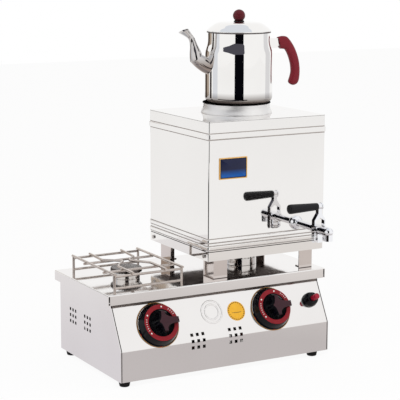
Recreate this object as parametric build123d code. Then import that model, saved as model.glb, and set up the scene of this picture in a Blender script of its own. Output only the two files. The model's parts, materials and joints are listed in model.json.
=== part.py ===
from build123d import *
import os
from math import cos, radians, sin, tan

# Gas tea boiler: a two-burner stainless case on rubber feet. A wire pan grate stands over the left burner,
# and a square jacketed water boiler with a lever tap stands on four angle legs over the right one.
# A steel teapot sits on the boiler's steam collar.
# Millimetres, +Z up, +Y to the back. The model is laid out about the middle of the deck with the table at
# z = 0, and every node is moved by FRAME_Y at the end so that the origin is the middle of the whole.

# Sheet, fits and fasteners
SHEET = 1.0
FIT = 0.2
RUNNING = 0.06
SCREW_R = 1.9
SCREW_PLAY = 0.2
SCREW_HEAD_R = 3.6
SCREW_HEAD_H = 2.2

# Case and deck
FOOT_H = 10.0
FOOT_TOP_R = 10.5
FOOT_END_R = 8.5
FOOT_ROUND = 2.0
FOOT_RECESS_R = 4.6
FOOT_RECESS_H = 5.5
FOOT_NUT_R = 3.4
FOOT_NUT_H = 3.0
FOOT_INSET_LEFT = 13.0
FOOT_INSET_RIGHT = 26.0
FOOT_INSET_FRONT = 13.0
FOOT_INSET_REAR = 18.0
CASE_W = 421.0
CASE_H = 147.0
CASE_FLANGE = 8.0
CASE_SEAM = 1.6
DECK_W = 440.0
DECK_D = 222.0
DECK_RIM = 18.0
DECK_BEND = 2.0
DECK_CORNER_GAP = 2.4
DECK_SCREW_SPACING = 150.0
DECK_SCREW_L = 9.0
FRONT_REACH = 27.0
FOLD_H = 54.0
FOLD_R = 6.0
PANEL_TILT = 28.0
VENT_HOLE = 5.6
VENT_PITCH = 11.0
FRONT_VENT_X = (-60.0, 15.5)
SIDE_VENT_Y = (54.0, -6.3)
SIDE_VENT_H = 73.0
REAR_VENT_X = (-60.0, 60.0)

# Burners, as distances from the deck's middle and heights over the deck
BURNER_AT = {"left": (-131.0, -1.0), "right": (106.0, 3.0)}
BURNER_R = {"left": 24.0, "right": 31.0}
BURNER_H = {"left": 11.5, "right": 13.0}
BURNER_WALL = 1.5
BURNER_TUBE_R = 11.0
BURNER_TUBE_L = 64.0
BURNER_BELL_R = 15.0
BURNER_BELL_H = 12.0
CAP_R = {"left": 28.0, "right": 31.0}
CAP_H = 7.0
CAP_ROUND = 2.5
CAP_SPIGOT_H = 3.0
CAP_PORTS = 28
CAP_PORT_W = 1.6
CAP_PORT_H = 2.2
CAP_PORT_IN = 4.0
ELECTRODE_GAP = 3.0
ELECTRODE_R = 3.2
ELECTRODE_UP = 7.0
ELECTRODE_DOWN = 22.0
ELECTRODE_SHOULDER_R = 5.5
ELECTRODE_SHOULDER_H = 2.5
SPARK_WIRE_R = 1.0
SPARK_WIRE_UP = 7.0
SPARK_WIRE_BEND = 3.0
TERMINAL_R = 1.6
TERMINAL_L = 6.0

# Gas valves and knobs, along the axis that stands square out of the control panel
KNOB_X = {"left": -131.0, "right": 97.0}
KNOB_UP = 37.5
PUSH_TRAVEL = 3.0
BEZEL_R = 40.0
BEZEL_THICK = 0.8
BEZEL_BORE_R = 9.0
KNOB_SKIRT_R = 37.0
KNOB_WALL = 2.6
KNOB_FACE_R = 32.5
KNOB_FACE_S = 16.5
KNOB_DISH_R = 24.0
KNOB_DISH_DEEP = 5.0
KNOB_DISH_SLOPE = 1.0
KNOB_BOSS_R = 8.0
GRIP_POINTER = 28.5
GRIP_POINTER_HALF = 5.0
GRIP_ARM = 18.5
GRIP_ARM_HALF = 3.5
GRIP_HEEL = 10.0
GRIP_HOLLOW = 8.5
GRIP_TALL = 18.5
GRIP_CHAMFER = 1.0
SPINDLE_R = 4.0
SPINDLE_IN_KNOB = 16.0
TANG_THICK = 2.8
TANG_WIDE = 7.0
TANG_LONG = 9.0
VALVE_SIDE = 28.0
VALVE_FRONT = 12.0
VALVE_LONG = 30.0
VALVE_WALL = 4.0
VALVE_NECK_R = 9.0
PLUG_R = 7.0
PORT_R = 2.5
OUTLET_R = 6.0
OUTLET_L = 8.0
MANIFOLD_R = 7.0
MANIFOLD_BORE_R = 5.0
MANIFOLD_DROP = 24.0
MANIFOLD_PAST = 20.0
MANIFOLD_BEND = 18.0
INLET_X = -178.0
INLET_FLANGE_R = 13.0
INLET_FLANGE_H = 5.0
HOSE_SPIGOT_R = 4.5
HOSE_SPIGOT_L = 24.0
HOSE_BORE_R = 2.5
PIPE_R = 4.0
PIPE_BORE_R = 2.8
PIPE_BEND = 8.0
PIPE_LEAD = 22.0
PIPE_RISE = 16.0
INJECTOR_R = 5.5
INJECTOR_H = 10.0
INJECTOR_TIP_R = 3.0
INJECTOR_TIP_H = 8.0
INJECTOR_IN_BELL = 5.0
INJECTOR_BORE_R = 0.8

# Piezo igniter on the same panel
IGNITER_X = 183.0
IGNITER_UP = 43.5
IGNITER_TRAVEL = 6.0
COLLAR_R = 13.5
COLLAR_END_R = 10.5
COLLAR_H = 14.0
BUTTON_R = 5.3
BUTTON_S = 29.0
BUTTON_ROUND = 3.0
BUTTON_IN = 2.0
IGNITER_THREAD_R = 8.0
IGNITER_THREAD_S = 6.0
IGNITER_R = 9.5
IGNITER_L = 50.0
IGNITER_TERMINAL_X = 4.0
LEAD_R = 2.0
LEAD_BEND = 12.0

# Wire pan grate
GRATE_X = -140.5
GRATE_Y = -22.0
GRATE_W = 129.0
GRATE_D = 166.0
GRATE_H = 36.0
GRATE_ROD_R = 2.25
GRATE_WELD = 0.7
GRATE_OVERRUN = 4.0
GRATE_LOW_BAR_H = 9.5
GRATE_CROSS_V = (0.22, 0.69)
GRATE_BEND_R = 5.0
GRATE_WIRE_V = (0.33, 0.54, 0.68)
GRATE_WIRE_U = {"left": (0.26, 0.47, 0.24), "right": (0.75, 0.56, 0.72)}

# Boiler: stand, jacket, tank and steam collar
BOILER_X = 100.0
BOILER_Y = 8.0
BOILER_W = 242.0
BOILER_D = 219.0
BOILER_TOP_H = 281.0
LEG_H = 35.0
LEG_SHEET = 1.5
LEG_WIDE = 28.0
LEG_DEEP = 36.0
LEG_INSET_X = 17.0
LEG_INSET_Y = 10.5
LEG_TAB = 20.0
SKIRT_H = 16.0
SKIRT_SHEET = 1.2
SKIRT_FLANGE = 24.0
SKIRT_SCREW_IN = 14.0
JACKET_SHEET = 0.8
JACKET_SEAM = 1.4
JACKET_CORNER_R = 2.0
BEAD_PROUD = 1.6
LOW_BEAD_W = 6.5
LOW_BEAD_H = (58.5, 71.0)
TOP_BEAD_W = 10.0
TOP_BEAD_H = 255.0
COVER_RIM = 10.0
TANK_GAP = 13.0
TANK_WALL = 0.8
TANK_BOTTOM = 2.0
TANK_TOP_DROP = 18.0
COLLAR_RING_R = 60.5
COLLAR_RING_BASE_R = 65.0
COLLAR_RING_WALL = 2.0
COLLAR_RING_H = 19.5
COLLAR_LIP_R = 50.0
PLATE_X = 28.5
PLATE_H = 198.0
PLATE_W = 60.0
PLATE_TALL = 42.0
PLATE_THICK = 1.2
PLATE_FRAME = 2.5
PLATE_FRAME_PROUD = 0.6
BADGE_X = 27.0
BADGE_UP = 42.5
BADGE_R = 17.5
BADGE_THICK = 0.5

# Lever tap, along the axis that stands square out of the boiler's front
TAP_X = 161.0
TAP_H = 89.0
TAP_FLANGE_R = 13.0
TAP_FLANGE_EDGE = 2.0
TAP_FLANGE_H = 9.0
TAP_TUBE_R = 6.2
TAP_CHEST_R = 8.5
TAP_CHEST_START = 58.0
TAP_REACH = 104.0
TAP_SPOUT_R = 7.5
TAP_SPOUT_BORE_R = 5.0
TAP_SPOUT_DROP = 15.5
TAP_SEAT_R = 3.0
TAP_SEAT_S = 50.0
TAP_BORE_R = 4.2
TAP_NUT_R = 11.0
TAP_NUT_H = 6.0
STEM_R = 2.2
STEM_HEAD_L = 6.0
STEM_END = 90.0
STEM_PIN_R = 1.6
LEVER_S = 73.0
LEVER_SWING = 20.0
LEVER_WIDE = 9.0
LEVER_ARM = 2.4
LEVER_PLAY = 0.6
LEVER_PIVOT_DROP = 18.0
LEVER_END = 5.0
LEVER_SHOULDER = 17.0
LEVER_NECK = 29.0
LEVER_EYE_UP = 41.0
LEVER_EYE_R = 6.0
LEVER_EYE_HALF = 3.5
LEVER_SLOT_PLAY = 0.45
PIVOT_R = 2.0
LUG_HALF = 5.0
LUG_WIDE = 11.0
LUG_BELOW = 5.0
HANDLE_L = 60.0
HANDLE_END_R = 8.6
HANDLE_ROOT_R = 6.4
HANDLE_ROUND = 2.5
HANDLE_BOLT_R = 2.5
HANDLE_BOLT_L = 42.0
HANDLE_CAP_R = 6.5
HANDLE_CAP_H = 5.0

# Teapot, in its own heights over the collar
POT_SHIFT = 4.0
POT_R = 61.7
POT_NECK_R = 56.6
POT_BASE_R = 56.0
POT_BASE_ROUND = 5.5
POT_SHOULDER = 90.0
POT_NECK = 107.0
POT_H = 127.0
POT_WALL = 1.0
POT_TURN = -8.0
LID_R = 58.4
LID_RIM = 1.6
LID_RISE = 16.0
LID_BROW_R = 51.0
LID_BROW_H = 8.0
LID_CROWN_R = 37.0
LID_CROWN_DROP = 1.6
LID_SPIGOT_PLAY = 0.5
LID_SPIGOT_H = 7.0
LID_SHEET = 1.0
KNOB_BALL_R = 10.4
KNOB_BALL_UP = 10.6
KNOB_NECK_R = 6.0
KNOB_FOOT_R = 9.6
KNOB_FOOT_H = 2.0
KNOB_SCREW_R = 2.0
KNOB_SCREW_IN = 9.0
SPOUT_WALL = 0.9
SPOUT_LINE = ((50.0, 64.0), (66.0, 67.0), (78.5, 75.5), (84.5, 87.0), (87.5, 103.0), (93.0, 117.5), (107.0, 130.0))
SPOUT_SIZE = (14.8, 14.2, 12.6, 10.2, 6.8, 5.4, 9.4)
SPOUT_LEAN = (10.0, 22.0, 46.0, 72.0, 78.0, 58.0, 60.0)
BRACKET_OUT = 86.0
BRACKET_WIDE = 12.0
BRACKET_LOW = 95.5
BRACKET_HIGH = 113.5
BRACKET_TONGUE = 6.0
BRACKET_TONGUE_STEP = 4.0
HANDLE_LINE = ((75.0, 104.5), (94.0, 104.5), (106.0, 87.0), (113.0, 64.0), (110.5, 28.0))
HANDLE_TALL = 19.0
HANDLE_THICK = 14.0
HANDLE_BEND = 14.0
HANDLE_PIN_R = 1.6
HANDLE_PIN_X = 82.5
HANDLE_PIN_PROUD = 0.6

# Levels and faces that several pieces share
Z_CASE = FOOT_H
Z_DECK = FOOT_H + CASE_H
Z_UNDER = Z_DECK - SHEET
Z_FOLD = FOOT_H + FOLD_H
Y_FRONT = -DECK_D / 2 - FRONT_REACH
Y_REAR = DECK_D / 2 - DECK_BEND - FIT
CASE_SIDE = CASE_W / 2
PANEL_OUT = Vector(0, -cos(radians(PANEL_TILT)), sin(radians(PANEL_TILT)))
PANEL_RISE = Vector(0, sin(radians(PANEL_TILT)), cos(radians(PANEL_TILT)))
CLEAR_R = SCREW_R + SCREW_PLAY
Z_SKIRT = Z_DECK + LEG_H
Z_FLANGE = Z_SKIRT + SKIRT_SHEET
Z_JACKET = Z_SKIRT + SKIRT_H + JACKET_SEAM
Z_TOP = Z_DECK + BOILER_TOP_H
Z_COVER = Z_TOP - SHEET
TANK_INSET = JACKET_SHEET + TANK_GAP
TONGUE_INSET = SKIRT_SHEET + FIT
Z_TANK_TOP = Z_COVER - TANK_TOP_DROP
Y_WALL = BOILER_Y - BOILER_D / 2
Z_SEAT = Z_TOP + COLLAR_RING_H
Z_TAP = Z_DECK + TAP_H
STEM_TRAVEL = LEVER_PIVOT_DROP * tan(radians(LEVER_SWING))
ARM_INNER = TAP_CHEST_R + LEVER_PLAY
ARM_OUTER = ARM_INNER + LEVER_ARM
FRONT_END = Y_WALL - TAP_REACH - max(TAP_SPOUT_R, TAP_CHEST_R)
BACK_END = Y_REAR + INLET_FLANGE_H + HOSE_SPIGOT_L
FRAME_Y = -(FRONT_END + BACK_END) / 2


# Small helpers
def block(x0, x1, y0, y1, z0, z1):
    """A box between the given limits."""
    return Pos((x0 + x1) / 2, (y0 + y1) / 2, (z0 + z1) / 2) * Box(x1 - x0, y1 - y0, z1 - z0)


def post(radius, z0, z1, x=0.0, y=0.0):
    """An upright cylinder from z0 to z1."""
    return Pos(x, y, (z0 + z1) / 2) * Cylinder(radius, z1 - z0)


def bar(radius, start, end):
    """A round bar between two points."""
    start, end = Vector(*start), Vector(*end)
    along = end - start
    return Plane(origin=(start + end) / 2, z_dir=along) * Cylinder(radius, along.length)


def turned(profile):
    """A solid of revolution about Z from (radius, height) points."""
    outline = Polyline(*[(r, 0, z) for r, z in profile], close=True)
    return revolve(make_face(outline), Axis.Z)


def wire(radius, points, bend):
    """A round wire or pipe along straight runs joined by arcs of one radius."""
    path = FilletPolyline(*points, radius=bend) if len(points) > 2 else Polyline(*points)
    section = Plane(origin=path @ 0, z_dir=path % 0) * Circle(radius)
    return sweep(section, path=path)


def group(shapes):
    """Several separate solids as one shape."""
    return Compound(children=list(shapes))


def panel_plane(x, up):
    """A frame on the control panel: local Z stands out of it and local Y climbs the slope from the fold."""
    origin = Vector(x, Y_FRONT, Z_FOLD) + PANEL_RISE * up
    return Plane(origin=origin, x_dir=(1, 0, 0), z_dir=PANEL_OUT)


def on_panel(x, up, local):
    """World place of a local point of the panel frame."""
    return panel_plane(x, up).from_local_coords(Vector(*local))


def tap_plane():
    """A frame on the boiler's front at the tap: local Z points out of the wall and local Y up."""
    return Plane(origin=(TAP_X, Y_WALL, Z_TAP), x_dir=(1, 0, 0), z_dir=(0, -1, 0))


def pot_place(shape):
    """Stands a piece of the teapot on the collar, turned as the pot is."""
    return Pos(BOILER_X + POT_SHIFT, BOILER_Y, Z_SEAT) * Rot(0, 0, POT_TURN) * shape


# Case
def case_prism(inset, z0, z1, y_back, x0, x1):
    """The case's side outline, with its front set back by inset, carried across from x0 to x1."""
    tilt = radians(PANEL_TILT)
    fold_z = Z_FOLD - inset * tan(tilt / 2)
    top_y = Y_FRONT + (z1 - Z_FOLD) * tan(tilt) + inset / cos(tilt)
    front_y = Y_FRONT + inset
    corners = [(front_y, z0), (front_y, fold_z), (top_y, z1), (y_back, z1), (y_back, z0)]
    face = make_face(Polyline(*corners, close=True))
    fold = face.vertices().sort_by_distance((front_y, fold_z, 0))[0]
    face = fillet(fold, FOLD_R - min(inset, FOLD_R / 2))
    return Pos(x0, 0, 0) * extrude(Plane.YZ * face, x1 - x0)


def vent_grid(centre, across, up, through):
    """Three by three square holes in a plane, as cutting bars along the through direction."""
    cutter = Plane(origin=centre, x_dir=across, z_dir=through)
    spots = GridLocations(VENT_PITCH, VENT_PITCH, 3, 3)
    return [cutter * spot * Box(VENT_HOLE, VENT_HOLE, up) for spot in spots]


def front_panel():
    half = CASE_SIDE - SHEET - CASE_SEAM
    shell = case_prism(0, Z_CASE, Z_UNDER, 0, -half, half)
    shell -= case_prism(SHEET, Z_CASE, Z_UNDER, 0, -half, half)
    for x in KNOB_X.values():
        shell -= panel_plane(x, KNOB_UP) * post(SPINDLE_R + FIT, -2 * SHEET, 2 * SHEET)
    shell -= panel_plane(IGNITER_X, IGNITER_UP) * post(IGNITER_THREAD_R, -2 * SHEET, 2 * SHEET)
    for x in FRONT_VENT_X:
        for hole in vent_grid((x, Y_FRONT, Z_FOLD), (1, 0, 0), 30 * SHEET, PANEL_OUT + Vector(0, -1, 0)):
            shell -= hole
    return shell


def side_panel(side):
    """One side wall with a narrow flange turned in along its bottom, front and top."""
    outer, inner = CASE_SIDE, CASE_SIDE - SHEET
    edge = inner - CASE_FLANGE
    back = Y_REAR - SHEET
    plate = case_prism(0, Z_CASE, Z_UNDER, Y_REAR, inner, outer)
    flange = case_prism(SHEET, Z_CASE + SHEET, Z_UNDER, back, edge, inner)
    flange -= case_prism(2 * SHEET, Z_CASE + 2 * SHEET, Z_UNDER - SHEET, back, edge, inner)
    wall = plate + flange
    for y in SIDE_VENT_Y:
        for hole in vent_grid((CASE_SIDE, y, Z_CASE + SIDE_VENT_H), (0, 1, 0), 6 * SHEET, (1, 0, 0)):
            wall -= hole
    return wall if side > 0 else mirror(wall, about=Plane.YZ)


def rear_panel():
    half = CASE_SIDE - SHEET
    plate = block(-half, half, Y_REAR - SHEET, Y_REAR, Z_CASE, Z_UNDER)
    for x in REAR_VENT_X:
        for hole in vent_grid((x, Y_REAR, Z_CASE + SIDE_VENT_H), (1, 0, 0), 6 * SHEET, (0, 1, 0)):
            plate -= hole
    inlet = manifold_axis(INLET_X)
    plate -= bar(MANIFOLD_R, (INLET_X, Y_REAR - 2 * SHEET, inlet.Z), (INLET_X, Y_REAR + SHEET, inlet.Z))
    for x, z in deck_screw_spots():
        plate -= bar(SCREW_R, (x, Y_REAR - 2 * SHEET, z), (x, Y_REAR + SHEET, z))
    return plate


def base_plate():
    half = CASE_SIDE - SHEET
    plate = block(-half, half, Y_FRONT + SHEET, Y_REAR - SHEET, Z_CASE, Z_CASE + SHEET)
    for x, y in foot_spots():
        plate -= post(CLEAR_R, Z_CASE - SHEET, Z_CASE + 2 * SHEET, x, y)
    return plate


def deck_screw_spots():
    z = Z_DECK - DECK_RIM / 2
    return [(x, z) for x in (-DECK_SCREW_SPACING, 0.0, DECK_SCREW_SPACING)]


def deck():
    """The top sheet with its rim turned down on all four sides and open at the corners."""
    outer = block(-DECK_W / 2, DECK_W / 2, -DECK_D / 2, DECK_D / 2, Z_DECK - DECK_RIM, Z_DECK)
    outer = fillet(outer.faces().sort_by(Axis.Z)[-1].edges(), DECK_BEND)
    half_w, half_d = DECK_W / 2 - SHEET, DECK_D / 2 - SHEET
    inner = block(-half_w, half_w, -half_d, half_d, Z_DECK - DECK_RIM, Z_UNDER)
    inner = fillet(inner.faces().sort_by(Axis.Z)[-1].edges(), DECK_BEND - SHEET)
    sheet = outer - inner
    for x in (-half_w, half_w - DECK_CORNER_GAP):
        for y in (-DECK_D / 2, half_d - DECK_BEND):
            sheet -= block(x, x + DECK_CORNER_GAP, y, y + SHEET + DECK_BEND, Z_DECK - DECK_RIM, Z_DECK - DECK_BEND)
    for side in BURNER_AT:
        sheet -= post(BURNER_TUBE_R + FIT, Z_UNDER - SHEET, Z_DECK + SHEET, *BURNER_AT[side])
        sheet -= post(ELECTRODE_R + FIT, Z_UNDER - SHEET, Z_DECK + SHEET, *electrode_spot(side))
    for x, y in leg_screw_spots():
        sheet -= post(SCREW_R, Z_UNDER - SHEET, Z_DECK + SHEET, x, y)
    for x, z in deck_screw_spots():
        sheet -= bar(CLEAR_R, (x, DECK_D / 2 - 2 * SHEET, z), (x, DECK_D / 2 + SHEET, z))
    return sheet


def deck_screws():
    """Pan-head screws that hold the deck's rear rim to the rear panel."""
    face = DECK_D / 2
    screws = []
    for x, z in deck_screw_spots():
        head = bar(SCREW_HEAD_R, (x, face, z), (x, face + SCREW_HEAD_H, z))
        screws.append(head + bar(SCREW_R, (x, face, z), (x, face - DECK_SCREW_L, z)))
    return group(screws)


def foot_spots():
    left, right = -CASE_SIDE + FOOT_INSET_LEFT, CASE_SIDE - FOOT_INSET_RIGHT
    front, rear = Y_FRONT + FOOT_INSET_FRONT, Y_REAR - FOOT_INSET_REAR
    return [(x, y) for x in (left, right) for y in (front, rear)]


def rubber_feet():
    """Four tapered rubber feet, hollow below for the screw's head."""
    foot = turned([(0, 0), (FOOT_END_R, 0), (FOOT_TOP_R, FOOT_H), (0, FOOT_H)])
    foot = fillet(foot.edges().filter_by(GeomType.CIRCLE).sort_by(Axis.Z)[0], FOOT_ROUND)
    foot -= post(FOOT_RECESS_R, 0, FOOT_RECESS_H)
    foot -= post(CLEAR_R, 0, FOOT_H)
    return group(Pos(x, y, 0) * foot for x, y in foot_spots())


def foot_screws():
    """Screws up through the feet and the base plate, each with its nut."""
    top = Z_CASE + SHEET + FOOT_NUT_H
    screw = post(SCREW_HEAD_R, FOOT_RECESS_H - SCREW_HEAD_H, FOOT_RECESS_H)
    screw += post(SCREW_R, FOOT_RECESS_H, top)
    nut = extrude(RegularPolygon(FOOT_NUT_R, 6), FOOT_NUT_H)
    screw += Pos(0, 0, Z_CASE + SHEET) * nut
    return group(Pos(x, y, 0) * screw for x, y in foot_spots())


# Gas line
def manifold_axis(x):
    """Point of the manifold's axis under the valves, at the given x."""
    return on_panel(x, KNOB_UP, (0, -MANIFOLD_DROP, -VALVE_FRONT - VALVE_LONG / 2))


def gas_manifold():
    """A pipe across under both valves that turns back to the rear panel, closed at its right end."""
    start = manifold_axis(KNOB_X["right"] + MANIFOLD_PAST)
    corner = manifold_axis(INLET_X)
    end = Vector(INLET_X, Y_REAR, corner.Z)
    run = [start, corner, end]
    bored = [start - Vector(MANIFOLD_R - MANIFOLD_BORE_R, 0, 0), corner, end]
    pipe = wire(MANIFOLD_R, run, MANIFOLD_BEND) - wire(MANIFOLD_BORE_R, bored, MANIFOLD_BEND)
    for x in KNOB_X.values():
        port = panel_plane(x, KNOB_UP) * bar(
            PORT_R,
            (0, -MANIFOLD_DROP, -VALVE_FRONT - VALVE_LONG / 2),
            (0, 0, -VALVE_FRONT - VALVE_LONG / 2),
        )
        pipe -= port
    return pipe


def gas_inlet():
    """The hose spigot with the flange that seats on the rear panel."""
    z = manifold_axis(INLET_X).Z
    flange = bar(INLET_FLANGE_R, (INLET_X, Y_REAR, z), (INLET_X, Y_REAR + INLET_FLANGE_H, z))
    spigot = bar(HOSE_SPIGOT_R, (INLET_X, Y_REAR + INLET_FLANGE_H, z), (INLET_X, BACK_END, z))
    return flange + spigot - bar(HOSE_BORE_R, (INLET_X, Y_REAR, z), (INLET_X, BACK_END, z))


def valve_body(x):
    """A gas tap's body: a block with a neck to the panel, a saddle on the manifold and an outlet behind."""
    middle = -VALVE_FRONT - VALVE_LONG / 2
    rear = -VALVE_FRONT - VALVE_LONG
    half = VALVE_SIDE / 2
    body = block(-half, half, -half, half, rear, -VALVE_FRONT)
    body += post(VALVE_NECK_R, -VALVE_FRONT, -SHEET)
    body += post(OUTLET_R, rear - OUTLET_L, rear)
    body += bar(OUTLET_R, (0, -half, middle), (0, -MANIFOLD_DROP, middle))
    body -= bar(MANIFOLD_R, (-half, -MANIFOLD_DROP, middle), (half, -MANIFOLD_DROP, middle))
    body -= post(PLUG_R + RUNNING, rear + VALVE_WALL, -VALVE_FRONT - VALVE_WALL)
    body -= post(SPINDLE_R + RUNNING, -VALVE_FRONT - VALVE_WALL, 0)
    body -= post(PORT_R, rear - OUTLET_L, rear + VALVE_WALL)
    body -= bar(PORT_R, (0, 0, middle), (0, -MANIFOLD_DROP, middle))
    return panel_plane(x, KNOB_UP) * body


def valve_plug(x):
    """The turning plug: a cylinder with a slot for the spindle's tang and its gas way."""
    front = -VALVE_FRONT - VALVE_WALL - FIT
    rear = -VALVE_FRONT - VALVE_LONG + VALVE_WALL + FIT
    middle = -VALVE_FRONT - VALVE_LONG / 2
    shoulder = front - PUSH_TRAVEL - 2 * FIT
    plug = post(PLUG_R, rear, front)
    plug -= post(SPINDLE_R + RUNNING, shoulder - FIT, front)
    slot_w, slot_t = TANG_WIDE / 2 + RUNNING, TANG_THICK / 2 + RUNNING
    plug -= block(-slot_w, slot_w, -slot_t, slot_t, shoulder - TANG_LONG - FIT, front)
    plug -= post(PORT_R / 2, rear, middle)
    return panel_plane(x, KNOB_UP) * plug


def knob_base():
    """Height of the knob's lower edge over the panel, with room to be pushed."""
    return BEZEL_THICK + PUSH_TRAVEL + 2 * FIT


def valve_spindle(x):
    """The push-and-turn spindle with a flat tang that slides in the plug's slot."""
    shoulder = -VALVE_FRONT - VALVE_WALL - FIT - 2 * FIT
    shaft = post(SPINDLE_R, shoulder, knob_base() + SPINDLE_IN_KNOB)
    half_w, half_t = TANG_WIDE / 2, TANG_THICK / 2
    shaft += block(-half_w, half_w, -half_t, half_t, shoulder - TANG_LONG + FIT, shoulder)
    return panel_plane(x, KNOB_UP) * shaft


def grip_outline():
    """The grip seen from the front: a long pointer, two short arms and a heel with hollow sides between them."""
    tip, arm, heel = (GRIP_POINTER, GRIP_POINTER_HALF), (GRIP_ARM_HALF, GRIP_ARM), (-GRIP_HEEL, GRIP_ARM_HALF / 2)
    near = (-GRIP_ARM_HALF, GRIP_ARM)
    upper = ThreePointArc(tip, (GRIP_HOLLOW, GRIP_HOLLOW), arm) + Line(arm, near)
    upper += ThreePointArc(near, (-GRIP_HOLLOW * 0.7, GRIP_HOLLOW * 0.8), heel)
    lower = mirror(upper, about=Plane.XZ)
    ends = Line(tip, (tip[0], -tip[1])) + Line(heel, (heel[0], -heel[1]))
    return make_face(upper.edges() + lower.edges() + ends.edges())


def knob(x):
    """A skirted knob with a dial ring round a dish, and a pointed grip that stands out of the dish."""
    base, face = knob_base(), KNOB_FACE_S
    skirt_r = KNOB_SKIRT_R
    floor = face - KNOB_DISH_DEEP
    roof = floor - KNOB_WALL
    body = turned([
        (0, base), (KNOB_BOSS_R, base), (KNOB_BOSS_R, roof),
        (KNOB_FACE_R - KNOB_WALL, roof), (skirt_r - KNOB_WALL, base), (skirt_r, base),
        (KNOB_FACE_R, face), (KNOB_DISH_R, face), (KNOB_DISH_R - KNOB_DISH_SLOPE, floor), (0, floor),
    ])
    grip = extrude(grip_outline(), GRIP_TALL)
    grip = chamfer(grip.faces().sort_by(Axis.Z)[-1].edges(), GRIP_CHAMFER)
    body += Pos(0, 0, floor) * grip
    body -= post(SPINDLE_R, base, base + SPINDLE_IN_KNOB)
    return panel_plane(x, KNOB_UP) * body


def bezel(x):
    """The flat dial disc behind a knob."""
    disc = post(BEZEL_R, 0, BEZEL_THICK) - post(BEZEL_BORE_R, 0, BEZEL_THICK)
    return panel_plane(x, KNOB_UP) * disc


def injector_foot():
    """Height of the injectors' lower end, from where the bells stand."""
    bell = Z_DECK - BURNER_TUBE_L - BURNER_BELL_H
    return bell + INJECTOR_IN_BELL - INJECTOR_TIP_H - INJECTOR_H


def feed_pipes():
    """A bent pipe from each valve's outlet to its injector."""
    pipes = []
    for side, x in KNOB_X.items():
        outlet = -VALVE_FRONT - VALVE_LONG - OUTLET_L
        start = on_panel(x, KNOB_UP, (0, 0, outlet))
        lead = on_panel(x, KNOB_UP, (0, 0, outlet - PIPE_LEAD))
        top = Vector(*BURNER_AT[side], injector_foot())
        run = [start, lead, top - Vector(0, 0, PIPE_RISE), top]
        pipes.append(wire(PIPE_R, run, PIPE_BEND) - wire(PIPE_BORE_R, run, PIPE_BEND))
    return group(pipes)


def injectors():
    """A brass jet on the end of each feed pipe, with its tip inside the burner's bell."""
    z = injector_foot()
    jet = Pos(0, 0, z) * extrude(RegularPolygon(INJECTOR_R, 6), INJECTOR_H)
    jet += post(INJECTOR_TIP_R, z + INJECTOR_H, z + INJECTOR_H + INJECTOR_TIP_H)
    jet -= post(INJECTOR_BORE_R, z, z + INJECTOR_H + INJECTOR_TIP_H)
    return group(Pos(x, y, 0) * jet for x, y in BURNER_AT.values())


# Burners and ignition
def burner_body(side):
    """A cup on the deck with a mixing tube and a bell below it."""
    radius, tall = BURNER_R[side], BURNER_H[side]
    tube_in = BURNER_TUBE_R - BURNER_WALL
    foot, bell = -BURNER_TUBE_L, -BURNER_TUBE_L - BURNER_BELL_H
    cup = turned([
        (tube_in, BURNER_WALL), (tube_in, foot), (BURNER_BELL_R - BURNER_WALL, bell), (BURNER_BELL_R, bell),
        (BURNER_TUBE_R, foot), (BURNER_TUBE_R, 0), (radius, 0), (radius, tall),
        (radius - BURNER_WALL, tall), (radius - BURNER_WALL, BURNER_WALL),
    ])
    return Pos(*BURNER_AT[side], Z_DECK) * cup


def burner_cap(side):
    """The lid of a burner, with a plug in the cup and flame ports that run up the plug and out under its edge."""
    plug = BURNER_R[side] - BURNER_WALL - FIT
    cap = post(CAP_R[side], 0, CAP_H)
    cap = fillet(cap.faces().sort_by(Axis.Z)[-1].edges(), CAP_ROUND)
    cap += post(plug, -CAP_SPIGOT_H, 0)
    reach = (plug - CAP_PORT_IN, CAP_R[side] + CAP_PORT_IN)
    port = block(*reach, -CAP_PORT_W / 2, CAP_PORT_W / 2, -CAP_SPIGOT_H, CAP_PORT_H)
    for turn in range(CAP_PORTS):
        cap -= Rot(0, 0, turn * 360 / CAP_PORTS) * port
    return Pos(*BURNER_AT[side], Z_DECK + BURNER_H[side]) * cap


def electrode_spot(side):
    """X and Y of a spark electrode, just behind its burner's cap."""
    x, y = BURNER_AT[side]
    return x, y + CAP_R[side] + ELECTRODE_GAP + ELECTRODE_SHOULDER_R


def spark_electrodes():
    """A ceramic insulator through the deck behind each burner, with a bent wire towards the flame ports."""
    rod = post(ELECTRODE_R, -ELECTRODE_DOWN, ELECTRODE_UP)
    rod += post(ELECTRODE_SHOULDER_R, 0, ELECTRODE_SHOULDER_H)
    rod += post(TERMINAL_R, -ELECTRODE_DOWN - TERMINAL_L, -ELECTRODE_DOWN)
    tip = ELECTRODE_UP + SPARK_WIRE_UP
    rod += wire(
        SPARK_WIRE_R,
        [(0, 0, ELECTRODE_UP), (0, 0, tip), (0, -ELECTRODE_SHOULDER_R, tip)],
        SPARK_WIRE_BEND,
    )
    return group(Pos(*electrode_spot(side), Z_DECK) * rod for side in BURNER_AT)


def igniter_body():
    """The piezo unit behind the panel, with a threaded nose through it and two terminals."""
    unit = post(IGNITER_R, -IGNITER_L, -SHEET) + post(IGNITER_THREAD_R, -SHEET, IGNITER_THREAD_S)
    unit -= post(BUTTON_R + FIT, BUTTON_IN - IGNITER_TRAVEL - 2 * FIT, IGNITER_THREAD_S)
    for x in (-IGNITER_TERMINAL_X, IGNITER_TERMINAL_X):
        unit += post(TERMINAL_R, -IGNITER_L - TERMINAL_L, -IGNITER_L, x)
    return panel_plane(IGNITER_X, IGNITER_UP) * unit


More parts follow.
